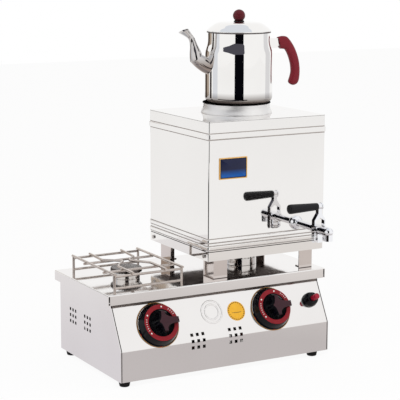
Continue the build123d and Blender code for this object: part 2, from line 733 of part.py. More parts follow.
def igniter_collar():
    """The black ring nut on the igniter's nose."""
    ring = turned([(0, 0), (COLLAR_R, 0), (COLLAR_R, COLLAR_H / 3), (COLLAR_END_R, COLLAR_H), (0, COLLAR_H)])
    ring -= post(IGNITER_THREAD_R, 0, IGNITER_THREAD_S)
    ring -= post(BUTTON_R + FIT / 2, 0, COLLAR_H)
    return panel_plane(IGNITER_X, IGNITER_UP) * ring


def igniter_button():
    """The red push button with a round end."""
    button = post(BUTTON_R, BUTTON_IN, BUTTON_S)
    button = fillet(button.edges().sort_by(Axis.Z)[-1], BUTTON_ROUND)
    return panel_plane(IGNITER_X, IGNITER_UP) * button


def ignition_leads():
    """The two high-tension leads from the igniter's terminals to the electrodes."""
    rear = -IGNITER_L - TERMINAL_L
    level = injector_foot() - PIPE_RISE + 3 * PIPE_R
    leads = []
    for side, x in (("right", -IGNITER_TERMINAL_X), ("left", IGNITER_TERMINAL_X)):
        start = on_panel(IGNITER_X, IGNITER_UP, (x, 0, rear))
        out = on_panel(IGNITER_X, IGNITER_UP, (x, 0, rear - 2 * LEAD_BEND))
        end = Vector(*electrode_spot(side), Z_DECK - ELECTRODE_DOWN - TERMINAL_L)
        below = Vector(end.X, end.Y, level)
        turn = Vector(out.X, Y_REAR - 2 * LEAD_BEND, level)
        behind = Vector(end.X, Y_REAR - 2 * LEAD_BEND, level)
        near = Vector(out.X, end.Y, level)
        run = [start, out, turn, behind, below, end] if side == "left" else [start, out, near, below, end]
        leads.append(wire(LEAD_R, run, LEAD_BEND))
    return group(leads)


# Pan grate
def pan_grate():
    """A welded wire grate: side rods and bent wires on top, bars and cross wires just under them, four posts."""
    r = GRATE_ROD_R
    x0, x1 = GRATE_X - GRATE_W / 2, GRATE_X + GRATE_W / 2
    y0, y1 = GRATE_Y - GRATE_D / 2, GRATE_Y + GRATE_D / 2
    high = Z_DECK + GRATE_H - r
    under = high - 2 * r + GRATE_WELD
    rods = []
    for x in (x0, x1):
        rods.append(bar(r, (x, y0 - GRATE_OVERRUN, high), (x, y1 + GRATE_OVERRUN, high)))
        for y in (y0, y1):
            rods.append(post(r, Z_DECK, high, x, y))
    for y in (y0, y1):
        rods.append(bar(r, (x0, y, under), (x1, y, under)))
        rods.append(bar(r, (x0, y, Z_DECK + GRATE_LOW_BAR_H), (x1, y, Z_DECK + GRATE_LOW_BAR_H)))
    for v in GRATE_CROSS_V:
        y = y0 + v * GRATE_D
        rods.append(bar(r, (x0 - GRATE_OVERRUN, y, under), (x1 + GRATE_OVERRUN, y, under)))
    near, tip, far = GRATE_WIRE_V
    for end_u, tip_u, mid_u in GRATE_WIRE_U.values():
        plan = [(end_u, 0), (end_u, near), (tip_u, tip), (mid_u, far), (end_u, 1)]
        points = [(x0 + u * GRATE_W, y0 + v * GRATE_D, high) for u, v in plan]
        points[0] = (points[0][0], y0 - GRATE_OVERRUN, high)
        points[-1] = (points[-1][0], y1 + GRATE_OVERRUN, high)
        rods.append(wire(r, points, GRATE_BEND_R))
    return rods[0].fuse(*rods[1:])


# Boiler
def ring_wall(inset, wall, z0, z1, corner=0.0):
    """A four-sided wall set in from the boiler's outside by inset."""
    def prism(back):
        outline = Rectangle(BOILER_W - 2 * back, BOILER_D - 2 * back)
        round_r = corner - (back - inset)
        if round_r > 0:
            outline = fillet(outline.vertices(), round_r)
        return Pos(BOILER_X, BOILER_Y, z0) * extrude(outline, z1 - z0)

    return prism(inset) - prism(inset + wall)


def bead(height, wide):
    """A rounded rib pressed out of the jacket all the way round."""
    rib = Rectangle(BOILER_W + 2 * BEAD_PROUD, BOILER_D + 2 * BEAD_PROUD)
    rib = fillet(rib.vertices(), JACKET_CORNER_R + BEAD_PROUD)
    z0 = Z_DECK + height - wide / 2
    rib = Pos(BOILER_X, BOILER_Y, z0) * extrude(rib, wide)
    edges = rib.faces().sort_by(Axis.Z)[0].edges() + rib.faces().sort_by(Axis.Z)[-1].edges()
    rib = fillet(edges, BEAD_PROUD * 0.9)
    hole = Rectangle(BOILER_W - 2 * JACKET_SHEET, BOILER_D - 2 * JACKET_SHEET)
    return rib - Pos(BOILER_X, BOILER_Y, z0) * extrude(hole, wide)


def skirt_screw_spots():
    """(x face, direction, y) of the screws through the skirt's left and right walls."""
    z = Z_SKIRT + SKIRT_H / 2
    left, right = BOILER_X - BOILER_W / 2, BOILER_X + BOILER_W / 2
    ends = (Y_WALL + SKIRT_SCREW_IN, BOILER_Y + BOILER_D / 2 - SKIRT_SCREW_IN)
    return [(x, way, y, z) for x, way in ((left, 1), (right, -1)) for y in ends]


def jacket():
    """The outer casing with its pressed ribs, and a tongue below that sits inside the skirt."""
    casing = ring_wall(0, JACKET_SHEET, Z_JACKET, Z_COVER, JACKET_CORNER_R)
    casing += ring_wall(0, TONGUE_INSET + JACKET_SHEET, Z_JACKET, Z_JACKET + JACKET_SHEET, JACKET_CORNER_R)
    casing += ring_wall(TONGUE_INSET, JACKET_SHEET, Z_FLANGE, Z_JACKET, JACKET_CORNER_R)
    for height in LOW_BEAD_H:
        casing += bead(height, LOW_BEAD_W)
    casing += bead(TOP_BEAD_H, TOP_BEAD_W)
    casing -= tap_plane() * post(TAP_TUBE_R, -TANK_INSET, TAP_FLANGE_H)
    for x, way, y, z in skirt_screw_spots():
        casing -= bar(SCREW_R, (x, y, z), (x + way * TANK_INSET / 2, y, z))
    return casing


def skirt_frame():
    """The boiler's bottom frame: an upright band with a wide flange turned in that carries the tank."""
    frame = ring_wall(0, SKIRT_SHEET, Z_SKIRT, Z_SKIRT + SKIRT_H, JACKET_CORNER_R)
    frame += ring_wall(0, SKIRT_FLANGE, Z_SKIRT, Z_FLANGE, JACKET_CORNER_R)
    for x, way, y, z in skirt_screw_spots():
        frame -= bar(CLEAR_R, (x - way, y, z), (x + way * TONGUE_INSET, y, z))
    return frame


def leg_corners():
    """(x, y, sign x, sign y) of each leg's outer corner, signs pointing inwards."""
    half_w, half_d = BOILER_W / 2 - LEG_INSET_X, BOILER_D / 2 - LEG_INSET_Y
    return [(BOILER_X - sx * half_w, BOILER_Y - sy * half_d, sx, sy) for sx in (1, -1) for sy in (1, -1)]


def leg_screw_spots():
    """Places of the screws that hold the legs' foot tabs to the deck."""
    mid = LEG_SHEET + LEG_TAB / 2
    return [(x + sx * mid, y + sy * mid) for x, y, sx, sy in leg_corners()]


def boiler_legs():
    """Four angle legs with a foot tab turned in at the bottom."""
    legs = []
    for x, y, sx, sy in leg_corners():
        leg = block(0, LEG_WIDE, 0, LEG_SHEET, 0, LEG_H) + block(0, LEG_SHEET, 0, LEG_DEEP, 0, LEG_H)
        leg += block(0, LEG_SHEET + LEG_TAB, 0, LEG_SHEET + LEG_TAB, 0, LEG_SHEET)
        mid = LEG_SHEET + LEG_TAB / 2
        leg -= post(CLEAR_R, -LEG_SHEET, 2 * LEG_SHEET, mid, mid)
        if sx < 0:
            leg = mirror(leg, about=Plane.YZ)
        if sy < 0:
            leg = mirror(leg, about=Plane.XZ)
        legs.append(Pos(x, y, Z_DECK) * leg)
    return group(legs)


def boiler_screws():
    """Screws of the leg tabs and of the skirt."""
    screws = []
    for x, y in leg_screw_spots():
        top = Z_DECK + LEG_SHEET
        head = post(SCREW_HEAD_R, top, top + SCREW_HEAD_H, x, y)
        screws.append(head + post(SCREW_R, top - DECK_SCREW_L, top, x, y))
    for x, way, y, z in skirt_screw_spots():
        head = bar(SCREW_HEAD_R, (x - way * SCREW_HEAD_H, y, z), (x, y, z))
        screws.append(head + bar(SCREW_R, (x, y, z), (x + way * (TONGUE_INSET + JACKET_SHEET), y, z)))
    return group(screws)


def top_cover():
    """The boiler's top sheet with a rim inside the jacket and a round hole for the collar."""
    plate = fillet(Rectangle(BOILER_W, BOILER_D).vertices(), JACKET_CORNER_R)
    cover = Pos(BOILER_X, BOILER_Y, Z_COVER) * extrude(plate, SHEET)
    cover += ring_wall(JACKET_SHEET + FIT, SHEET, Z_COVER - COVER_RIM, Z_COVER, JACKET_CORNER_R)
    cover -= post(COLLAR_RING_R, Z_COVER - SHEET, Z_TOP + SHEET, BOILER_X, BOILER_Y)
    return cover


def steam_collar():
    """The round neck from the tank's opening up through the cover, with a turned-in lip the pot sits on."""
    inner = COLLAR_RING_R - COLLAR_RING_WALL
    low = Z_TANK_TOP - Z_TOP
    ring = turned([
        (inner, low), (COLLAR_RING_R, low), (COLLAR_RING_R, 0), (COLLAR_RING_BASE_R, 0),
        (COLLAR_RING_BASE_R, COLLAR_RING_WALL / 2), (COLLAR_RING_R, COLLAR_RING_H / 2),
        (COLLAR_RING_R, COLLAR_RING_H), (COLLAR_LIP_R, COLLAR_RING_H),
        (COLLAR_LIP_R, COLLAR_RING_H - COLLAR_RING_WALL), (inner, COLLAR_RING_H - COLLAR_RING_WALL),
    ])
    return Pos(BOILER_X, BOILER_Y, Z_TOP) * ring


def inner_tank():
    """The water tank, open at the top inside the collar and with a thick heat plate below."""
    half_w, half_d = BOILER_W / 2 - TANK_INSET, BOILER_D / 2 - TANK_INSET
    outer = block(-half_w, half_w, -half_d, half_d, Z_FLANGE, Z_TANK_TOP)
    half_w, half_d = half_w - TANK_WALL, half_d - TANK_WALL
    inner = block(-half_w, half_w, -half_d, half_d, Z_FLANGE + TANK_BOTTOM, Z_TANK_TOP - TANK_WALL)
    tank = outer - inner - post(COLLAR_RING_R - COLLAR_RING_WALL, Z_TANK_TOP - SHEET, Z_TANK_TOP + SHEET)
    tank = Pos(BOILER_X, BOILER_Y, 0) * tank
    return tank - tap_plane() * post(TAP_TUBE_R, -TANK_INSET - 2 * TANK_WALL, 0)


def insulation():
    """Mineral wool between the tank and the jacket."""
    inset = TONGUE_INSET + JACKET_SHEET + FIT
    wool = ring_wall(inset, TANK_INSET - FIT - inset, Z_FLANGE, Z_COVER - COVER_RIM - FIT)
    return wool - tap_plane() * post(TAP_TUBE_R + FIT, -TANK_INSET, 0)


def nameplate():
    """A plain framed plate on the boiler's front."""
    x, z = PLATE_X, Z_DECK + PLATE_H
    half_w, half_t = PLATE_W / 2, PLATE_TALL / 2
    back = Y_WALL - PLATE_THICK - PLATE_FRAME_PROUD
    plate = block(x - half_w, x + half_w, back, Y_WALL, z - half_t, z + half_t)
    in_w, in_t = half_w - PLATE_FRAME, half_t - PLATE_FRAME
    return plate - block(x - in_w, x + in_w, back, Y_WALL - PLATE_THICK, z - in_t, z + in_t)


def badge():
    """A plain round disc on the control panel."""
    return panel_plane(BADGE_X, BADGE_UP) * post(BADGE_R, 0, BADGE_THICK)


# Tap
def lever_spot():
    """Local place of the lever's pivot in the tap's frame."""
    return (0, -LEVER_PIVOT_DROP, LEVER_S)


def tap_body():
    """Shank, tube, valve chest and down-turned spout in one, with the lever's lug below the chest."""
    body = post(TAP_TUBE_R, -TANK_INSET - TANK_WALL - TAP_NUT_H, TAP_CHEST_START)
    body += post(TAP_CHEST_R, TAP_CHEST_START, TAP_REACH)
    body += Pos(0, 0, TAP_REACH) * Sphere(TAP_CHEST_R)
    body += bar(TAP_SPOUT_R, (0, 0, TAP_REACH), (0, -TAP_SPOUT_DROP, TAP_REACH))
    lug_low = -LEVER_PIVOT_DROP - LUG_BELOW
    body += block(-LUG_HALF, LUG_HALF, lug_low, 0, LEVER_S - LUG_WIDE / 2, LEVER_S + LUG_WIDE / 2)
    body -= post(TAP_SEAT_R, -TANK_INSET - TANK_WALL - TAP_NUT_H, TAP_SEAT_S)
    body -= post(TAP_BORE_R, TAP_SEAT_S, TAP_REACH)
    body -= bar(TAP_SPOUT_BORE_R, (0, 0, TAP_REACH), (0, -TAP_SPOUT_DROP, TAP_REACH))
    slot_half = STEM_PIN_R + LEVER_SLOT_PLAY
    slot_end = LEVER_S + STEM_TRAVEL + slot_half
    body -= block(-TAP_CHEST_R, TAP_CHEST_R, -slot_half, slot_half, LEVER_S - slot_half, slot_end)
    pivot = lever_spot()
    body -= bar(PIVOT_R, (-LUG_HALF, pivot[1], pivot[2]), (LUG_HALF, pivot[1], pivot[2]))
    return tap_plane() * body


def tap_flange():
    """The bell-shaped rose that covers the hole in the jacket."""
    rose = turned([
        (TAP_TUBE_R, 0), (TAP_FLANGE_R, 0), (TAP_FLANGE_R, TAP_FLANGE_EDGE),
        (TAP_CHEST_R, TAP_FLANGE_H), (TAP_TUBE_R, TAP_FLANGE_H),
    ])
    return tap_plane() * rose


def tap_backnut():
    """The nut inside the tank that draws the tap up."""
    face = -TANK_INSET - TANK_WALL
    nut = Pos(0, 0, face - TAP_NUT_H) * extrude(RegularPolygon(TAP_NUT_R, 6), TAP_NUT_H)
    return tap_plane() * (nut - post(TAP_TUBE_R, face - TAP_NUT_H, face))


def tap_stem():
    """The valve stem with its head on the seat and a cross pin that the lever draws."""
    head = TAP_SEAT_S + FIT
    stem = post(TAP_BORE_R - RUNNING, head, head + STEM_HEAD_L) + post(STEM_R, head, STEM_END)
    stem += bar(STEM_PIN_R, (-ARM_OUTER, 0, LEVER_S), (ARM_OUTER, 0, LEVER_S))
    return tap_plane() * stem


def tap_lever():
    """A fork that straddles the chest, pivoted below it, with an eye for the handle on top."""
    low = -LEVER_PIVOT_DROP - LEVER_END
    inner_top = LEVER_SHOULDER + (ARM_INNER - LEVER_EYE_HALF) * 0.8
    half = [
        (LEVER_EYE_HALF, LEVER_EYE_UP), (LEVER_EYE_HALF, LEVER_NECK), (ARM_OUTER, LEVER_SHOULDER),
        (ARM_OUTER, low), (ARM_INNER, low), (ARM_INNER, LEVER_SHOULDER - LEVER_ARM / 2), (0, inner_top),
    ]
    outline = half + [(-x, y) for x, y in reversed(half[:-1])]
    fork = Pos(0, 0, LEVER_S - LEVER_WIDE / 2) * extrude(make_face(Polyline(*outline, close=True)), LEVER_WIDE)
    ends = fork.faces().sort_by(Axis.Y)[:2]
    fork = fillet([e for face in ends for e in face.edges().filter_by(Axis.X)], LEVER_WIDE / 2 - FIT)
    fork += bar(LEVER_EYE_R, (-LEVER_EYE_HALF, LEVER_EYE_UP, LEVER_S), (LEVER_EYE_HALF, LEVER_EYE_UP, LEVER_S))
    pivot = lever_spot()
    fork -= bar(PIVOT_R + RUNNING, (-ARM_OUTER, pivot[1], pivot[2]), (ARM_OUTER, pivot[1], pivot[2]))
    half_slot = STEM_PIN_R + LEVER_SLOT_PLAY
    reach = LEVER_PIVOT_DROP / cos(radians(LEVER_SWING)) - LEVER_PIVOT_DROP
    fork -= block(
        -ARM_OUTER, ARM_OUTER, -half_slot, half_slot + reach, LEVER_S - half_slot, LEVER_S + half_slot
    )
    fork -= bar(HANDLE_BOLT_R, (-LEVER_EYE_HALF, LEVER_EYE_UP, LEVER_S), (LEVER_EYE_HALF, LEVER_EYE_UP, LEVER_S))
    return tap_plane() * fork


def tap_pivot_pin():
    """The pin through the lug that the fork turns on."""
    _, drop, s = lever_spot()
    return tap_plane() * bar(PIVOT_R, (-ARM_OUTER, drop, s), (ARM_OUTER, drop, s))


def handle_axis(shape):
    """Lays a piece turned about Z along the handle: local Z runs to the left from the eye's left face."""
    frame = Plane(origin=(-LEVER_EYE_HALF, LEVER_EYE_UP, LEVER_S), x_dir=(0, 1, 0), z_dir=(-1, 0, 0))
    return tap_plane() * (frame * shape)


def tap_handle():
    """The black grip, thicker towards its free end."""
    grip = turned([(0, 0), (HANDLE_ROOT_R, 0), (HANDLE_END_R, HANDLE_L), (0, HANDLE_L)])
    grip = fillet(grip.edges().filter_by(GeomType.CIRCLE).sort_by(Axis.Z)[-1], HANDLE_ROUND)
    return handle_axis(grip - post(HANDLE_BOLT_R, 0, HANDLE_BOLT_L))


def tap_handle_bolt():
    """The bolt through the eye into the grip, with a domed head at the right."""
    eye = 2 * LEVER_EYE_HALF
    head = post(HANDLE_CAP_R, -eye - HANDLE_CAP_H, -eye)
    head = fillet(head.edges().sort_by(Axis.Z)[0], HANDLE_CAP_H * 0.6)
    return handle_axis(head + post(HANDLE_BOLT_R, -eye, HANDLE_BOLT_L))


# Teapot
def pot_outline(inset):
    """Half outline of the pot's body, set in by the wall's thickness."""
    return [
        (0, inset), (POT_BASE_R - inset / 2, inset), (POT_R - inset, inset + POT_BASE_ROUND),
        (POT_R - inset, POT_SHOULDER), (POT_NECK_R - inset, POT_NECK), (POT_NECK_R - inset, POT_H), (0, POT_H),
    ]


def pot_solid(inset):
    """The pot's body as a full solid, with a soft shoulder and base."""
    shape = turned(pot_outline(inset))
    rings = shape.edges().filter_by(GeomType.CIRCLE)
    soft = [e for e in rings if inset < e.center().Z < POT_H and e.radius > POT_BASE_R / 2]
    return fillet(soft, POT_BASE_ROUND / 2 - inset / 2)


def spout_solid(thinner):
    """The curved spout as a full solid through round sections that lean with it."""
    sections = []
    for (out, up), size, lean in zip(SPOUT_LINE, SPOUT_SIZE, SPOUT_LEAN):
        along = (-cos(radians(lean)), 0, sin(radians(lean)))
        sections.append(Plane(origin=(-out, 0, up), x_dir=(0, 1, 0), z_dir=along) * Circle(size - thinner))
    return loft(sections)


def teapot_body():
    body = pot_solid(0) - pot_solid(POT_WALL)
    return pot_place(body - (spout_solid(SPOUT_WALL) & post(2 * POT_R, POT_BASE_ROUND, POT_SHOULDER)))


def teapot_spout():
    return pot_place(spout_solid(0) - spout_solid(SPOUT_WALL) - pot_solid(0))


def teapot_lid():
    """A domed lid whose rim rests on the pot's mouth, with a ring below that keeps it in place."""
    spigot = POT_NECK_R - POT_WALL - LID_SPIGOT_PLAY
    top, sheet = LID_RIM + LID_RISE, LID_SHEET
    crown = top - LID_CROWN_DROP
    dome = turned([
        (0, top), (KNOB_FOOT_R, top), (LID_CROWN_R, crown), (LID_BROW_R, LID_BROW_H), (LID_R, LID_RIM), (LID_R, 0),
        (spigot, 0), (spigot, -LID_SPIGOT_H), (spigot - sheet, -LID_SPIGOT_H), (spigot - sheet, LID_RIM),
        (LID_BROW_R - sheet, LID_BROW_H - sheet), (LID_CROWN_R, crown - sheet),
        (KNOB_FOOT_R, top - sheet), (0, top - sheet),
    ])
    dome -= post(KNOB_SCREW_R, 0, top + LID_SHEET)
    return pot_place(Pos(0, 0, POT_H) * dome)


def lid_knob():
    """The ball knob on its short neck and flat foot."""
    top = POT_H + LID_RIM + LID_RISE
    ball = Pos(0, 0, top + KNOB_BALL_UP) * Sphere(KNOB_BALL_R) + post(KNOB_NECK_R, top, top + KNOB_BALL_UP)
    ball += post(KNOB_FOOT_R, top, top + KNOB_FOOT_H)
    return pot_place(ball - post(KNOB_SCREW_R, top, top + KNOB_SCREW_IN))


def lid_knob_screw():
    """The screw from inside the lid into the knob."""
    top = POT_H + LID_RIM + LID_RISE
    under = top - LID_SHEET
    head = post(SCREW_HEAD_R, under - SCREW_HEAD_H, under)
    return pot_place(head + post(KNOB_SCREW_R, under, top + KNOB_SCREW_IN))


def bracket_solid():
    """The handle bracket's full shape: a strap from the pot's neck and a narrower tongue inside the grip."""
    half, grip = BRACKET_WIDE / 2, HANDLE_LINE[0][0]
    strap = block(POT_NECK_R / 2, grip, -half, half, BRACKET_LOW, BRACKET_HIGH)
    low, high = BRACKET_LOW + BRACKET_TONGUE_STEP, BRACKET_HIGH - BRACKET_TONGUE_STEP
    return strap + block(grip, BRACKET_OUT, -BRACKET_TONGUE / 2, BRACKET_TONGUE / 2, low, high)


def handle_bracket():
    """The steel bracket between the pot's neck and the handle."""
    return pot_place(bracket_solid() - pot_solid(0) - handle_pin_solid())


def handle_solid():
    """The grip's full shape: a rounded section carried along the handle's line."""
    path = FilletPolyline(*[(x, 0, z) for x, z in HANDLE_LINE], radius=HANDLE_BEND)
    outline = fillet(Rectangle(HANDLE_THICK, HANDLE_TALL).vertices(), HANDLE_THICK * 0.42)
    grip = sweep(Plane(origin=path @ 0, x_dir=(0, 1, 0), z_dir=path % 0) * outline, path=path)
    return grip


def handle_pin_solid():
    """The upright pin through the grip's end and the bracket's tongue."""
    half, mid = HANDLE_TALL / 2 + HANDLE_PIN_PROUD, HANDLE_LINE[0][1]
    return post(HANDLE_PIN_R, mid - half, mid + half, HANDLE_PIN_X)


def handle_pin():
    return pot_place(handle_pin_solid())


def teapot_handle():
    return pot_place(handle_solid() - bracket_solid() - handle_pin_solid())


NODES = {
    "front_panel": front_panel(),
    "left_side_panel": side_panel(-1),
    "right_side_panel": side_panel(1),
    "rear_panel": rear_panel(),
    "base_plate": base_plate(),
    "deck": deck(),
    "deck_screws": deck_screws(),
    "rubber_feet": rubber_feet(),
    "foot_screws": foot_screws(),
    "gas_manifold": gas_manifold(),
    "gas_inlet": gas_inlet(),
    "feed_pipes": feed_pipes(),
    "injectors": injectors(),
    "spark_electrodes": spark_electrodes(),
    "igniter_body": igniter_body(),
    "igniter_collar": igniter_collar(),
    "igniter_button": igniter_button(),
    "ignition_leads": ignition_leads(),
    "badge": badge(),
    "pan_grate": pan_grate(),
    "boiler_legs": boiler_legs(),
    "boiler_screws": boiler_screws(),
    "skirt_frame": skirt_frame(),
    "jacket": jacket(),
    "top_cover": top_cover(),
    "steam_collar": steam_collar(),
    "inner_tank": inner_tank(),
    "insulation": insulation(),
    "nameplate": nameplate(),
    "tap_body": tap_body(),
    "tap_flange": tap_flange(),
    "tap_backnut": tap_backnut(),
    "tap_stem": tap_stem(),
    "tap_lever": tap_lever(),
    "tap_pivot_pin": tap_pivot_pin(),
    "tap_handle": tap_handle(),
    "tap_handle_bolt": tap_handle_bolt(),
    "teapot_body": teapot_body(),
    "teapot_spout": teapot_spout(),
    "teapot_lid": teapot_lid(),
    "lid_knob": lid_knob(),
    "lid_knob_screw": lid_knob_screw(),
    "handle_bracket": handle_bracket(),
    "teapot_handle": teapot_handle(),
    "handle_pin": handle_pin(),
}
for side, x in KNOB_X.items():
    NODES[side + "_valve_body"] = valve_body(x)
    NODES[side + "_valve_plug"] = valve_plug(x)
    NODES[side + "_valve_spindle"] = valve_spindle(x)
    NODES[side + "_knob"] = knob(x)
    NODES[side + "_bezel"] = bezel(x)
for side in BURNER_AT:
    NODES[side + "_burner_body"] = burner_body(side)
    NODES[side + "_burner_cap"] = burner_cap(side)

os.makedirs("parts", exist_ok=True)
for name, shape in NODES.items():
    export_step(Pos(0, FRAME_Y, 0) * shape, f"parts/{name}.step")
print(len(NODES), "nodes, frame moved by", round(FRAME_Y, 3))
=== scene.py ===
# %% [markdown]
# # A gas tea boiler
# The solids of the part come packed from the CAD step and stay where they are. This script gives them
# finishes, and puts smooth surfaces in place of the solids whose curves show, such as the teapot and the
# knobs. Everything is in metres, with +Z up and +Y to the back.

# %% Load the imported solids
import json

import bmesh
import bpy
import numpy as np
from mathutils import Matrix, Vector


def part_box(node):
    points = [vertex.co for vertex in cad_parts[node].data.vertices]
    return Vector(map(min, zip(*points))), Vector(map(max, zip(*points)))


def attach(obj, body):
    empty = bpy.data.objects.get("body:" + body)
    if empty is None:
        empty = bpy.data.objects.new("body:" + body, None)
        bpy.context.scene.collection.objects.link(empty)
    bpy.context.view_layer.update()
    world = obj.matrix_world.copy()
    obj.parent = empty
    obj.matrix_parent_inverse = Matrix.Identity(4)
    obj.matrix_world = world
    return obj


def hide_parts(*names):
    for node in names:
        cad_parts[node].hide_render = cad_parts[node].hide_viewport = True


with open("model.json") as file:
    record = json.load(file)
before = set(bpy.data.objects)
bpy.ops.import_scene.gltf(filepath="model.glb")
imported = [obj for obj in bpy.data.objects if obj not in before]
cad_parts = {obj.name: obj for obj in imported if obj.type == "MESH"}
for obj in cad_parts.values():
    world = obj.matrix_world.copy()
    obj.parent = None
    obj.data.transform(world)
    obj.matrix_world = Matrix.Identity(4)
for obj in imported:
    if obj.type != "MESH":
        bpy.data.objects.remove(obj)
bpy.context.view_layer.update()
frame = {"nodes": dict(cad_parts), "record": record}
scene = bpy.context.scene

# %% [markdown]
# The drawing's own measures are millimetres about the middle of the deck. The deck's box says where that
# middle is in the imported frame, so one helper turns drawing millimetres into metres of the scene, and
# another gives a solid's box in drawing millimetres.

# %% Drawing millimetres and scene metres
deck_low, deck_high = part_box("deck")
DECK_MIDDLE = np.array([(deck_low.x + deck_high.x) / 2, (deck_low.y + deck_high.y) / 2, 0.0])
DECK_TOP = deck_high.z * 1000


def at(points):
    """Drawing millimetres to scene metres: scaled by a thousandth and moved with the deck's middle."""
    return np.asarray(points, float) * 0.001 + DECK_MIDDLE


def spot(node):
    """Lowest and highest corner of a solid in drawing millimetres."""
    return [(np.array(corner) - DECK_MIDDLE) * 1000 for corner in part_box(node)]


print("deck middle:", DECK_MIDDLE, "deck top:", DECK_TOP)

# %% [markdown]
# A long lens a few metres away keeps the boiler's uprights nearly parallel. The camera stands to the left
# of the front and a little above the boiler's middle. Its place came from matching the corners of the
# deck, the case and the boiler, so it is written as plain numbers.

# %% Camera
LENS_MM, SENSOR_MM = 128.62, 36.0
CAMERA_PLACE = (-1236.75, -2220.15, 745.68)
AZIMUTH, ELEVATION, ROLL = np.radians((-29.505, 10.285, 0.178))


def stand(name, data):
    """A new object of the scene for a mesh, a lamp or a camera."""
    thing = bpy.data.objects.new(name, data)
    scene.collection.objects.link(thing)
    return thing


flat = np.cos(ELEVATION)
back = np.array([np.sin(AZIMUTH) * flat, -np.cos(AZIMUTH) * flat, np.sin(ELEVATION)])
level = np.array([np.cos(AZIMUTH), np.sin(AZIMUTH), 0.0])
over = np.cross(back, level)
right = level * np.cos(ROLL) + over * np.sin(ROLL)
up = -level * np.sin(ROLL) + over * np.cos(ROLL)
lens = bpy.data.cameras.new("camera")
lens.lens, lens.sensor_width = LENS_MM, SENSOR_MM
lens.clip_end = 50
camera = stand("camera", lens)
turn = Matrix(np.column_stack([right, up, back]).tolist()).to_4x4()
camera.matrix_world = Matrix.Translation(Vector(at(CAMERA_PLACE))) @ turn
scene.camera = camera
print("camera at", tuple(camera.location))

# %% [markdown]
# Every material is a small node graph. One function starts an empty one, another adds a node, sets its
# values and makes its links, and a third turns an sRGB hex colour into the linear numbers that the shader
# wants.

# %% Node and colour helpers
def linear(hex_colour):
    """sRGB hex to linear RGBA, by the sRGB curve."""
    code = np.array([int(hex_colour[i:i + 2], 16) for i in (1, 3, 5)]) / 255
    return (*np.where(code <= 0.04045, code / 12.92, ((code + 0.055) / 1.055) ** 2.4).tolist(), 1.0)


def add(tree, kind, links=None, **settings):
    """Adds a shader node. Settings name properties or input sockets. Links give a socket's source: another
    socket, or a node for its first output."""
    node = tree.nodes.new("ShaderNode" + kind)
    for key, value in settings.items():
        if hasattr(node, key):
            setattr(node, key, value)
        else:
            node.inputs[key.replace("_", " ")].default_value = value
    for key, source in (links or {}).items():
        tree.links.new(getattr(source, "outputs", [source])[0], node.inputs[key])
    return node


def blank(name):
    """A new material with an empty node graph, and that graph."""
    material = bpy.data.materials.new(name)
    material.use_nodes = True
    material.node_tree.nodes.clear()
    return material, material.node_tree


print("steel grey in linear light:", linear("#d8d5d3"))

# %% [markdown]
# The set is a white sweep: a pale floor and a white world. The camera and the mirror-like metal see both
# as plain white, and the floor keeps a share of its own shading, so the shadow under the feet stays. The
# lamps are two big soft boxes, so that shadow is faint.

# %% World, floor and lamps
SKY_LIGHT = 0.76
FLOOR_GLOW = 0.9
FLOOR_HALF = 6
LAMP_SIZE = 1.6
LAMP_AIM = (0, 0, 0.3)


def seen_directly(tree):
    """One where the camera or a mirror sees the surface, and nought where it only lights other surfaces."""
    path = add(tree, "LightPath").outputs
    eye = path["Is Camera Ray"]
    for ray in ("Is Glossy Ray", "Is Transmission Ray"):
        eye = add(tree, "Math", {0: eye, 1: path[ray]}, operation="MAXIMUM")
    return eye


scene.view_settings.view_transform = "Standard"
world = bpy.data.worlds.new("studio")
scene.world = world
world.use_nodes = True
tree = world.node_tree
tree.nodes.clear()
plain = add(tree, "Background", Color=(1, 1, 1, 1), Strength=SKY_LIGHT)
white = add(tree, "Background", Color=(1, 1, 1, 1))
mixed = add(tree, "MixShader", {0: seen_directly(tree), 1: plain, 2: white})
add(tree, "OutputWorld", {"Surface": mixed})


def soft_box(name, place, power):
    """A square area lamp at a place, turned to the part. Mirrors see the white world instead."""
    data = bpy.data.lights.new(name, "AREA")
    data.energy, data.size = power, LAMP_SIZE
    lamp = stand(name, data)
    lamp.location = place
    lamp.visible_glossy = False
    lamp.rotation_euler = (Vector(LAMP_AIM) - Vector(place)).to_track_quat("-Z", "Y").to_euler()


def stage_sheet(name, corners, material):
    """A flat sheet of the set, given by the corners round its edge."""
    mesh = bpy.data.meshes.new(name)
    mesh.from_pydata(np.asarray(corners, float).tolist(), [], [tuple(range(len(corners)))])
    mesh.materials.append(material)
    sheet = stand(name, mesh)
    return sheet


soft_box("key_soft_box", (-1.6, -1.8, 2.2), 30)
soft_box("fill_soft_box", (2.2, -1.2, 1.4), 12)
floor_paper, tree = blank("white_paper_sweep")
paper = add(tree, "BsdfPrincipled", Base_Color=linear("#f3f2f1"), Roughness=0.8)
glow = add(tree, "Emission", Color=(1, 1, 1, 1))
share = add(tree, "Math", {0: seen_directly(tree)}, operation="MULTIPLY")
share.inputs[1].default_value = FLOOR_GLOW
mixed = add(tree, "MixShader", {0: share, 1: paper, 2: glow})
add(tree, "OutputMaterial", {"Surface": mixed})
floor_corners = np.array([(-1, -1, 0), (1, -1, 0), (1, 1, 0), (-1, 1, 0)]) * FLOOR_HALF
stage_sheet("floor", floor_corners, floor_paper)
print("stage set")

# %% [markdown]
# Polished steel shows what stands round it, so there are cards which only the metal sees. A tall black one
# in front gives the teapot its dark stripe, and a grey leaf the patch on its shoulder. Brown, dark and
# pale ones at the sides draw the stripes near the pot's edges. A small flag darkens the tap, a card
# overhead tints the lid, and two on the floor take the glare off the low front and side. A dark one
# farther out on the floor shows only where a surface turns, in corners, wires and cups.

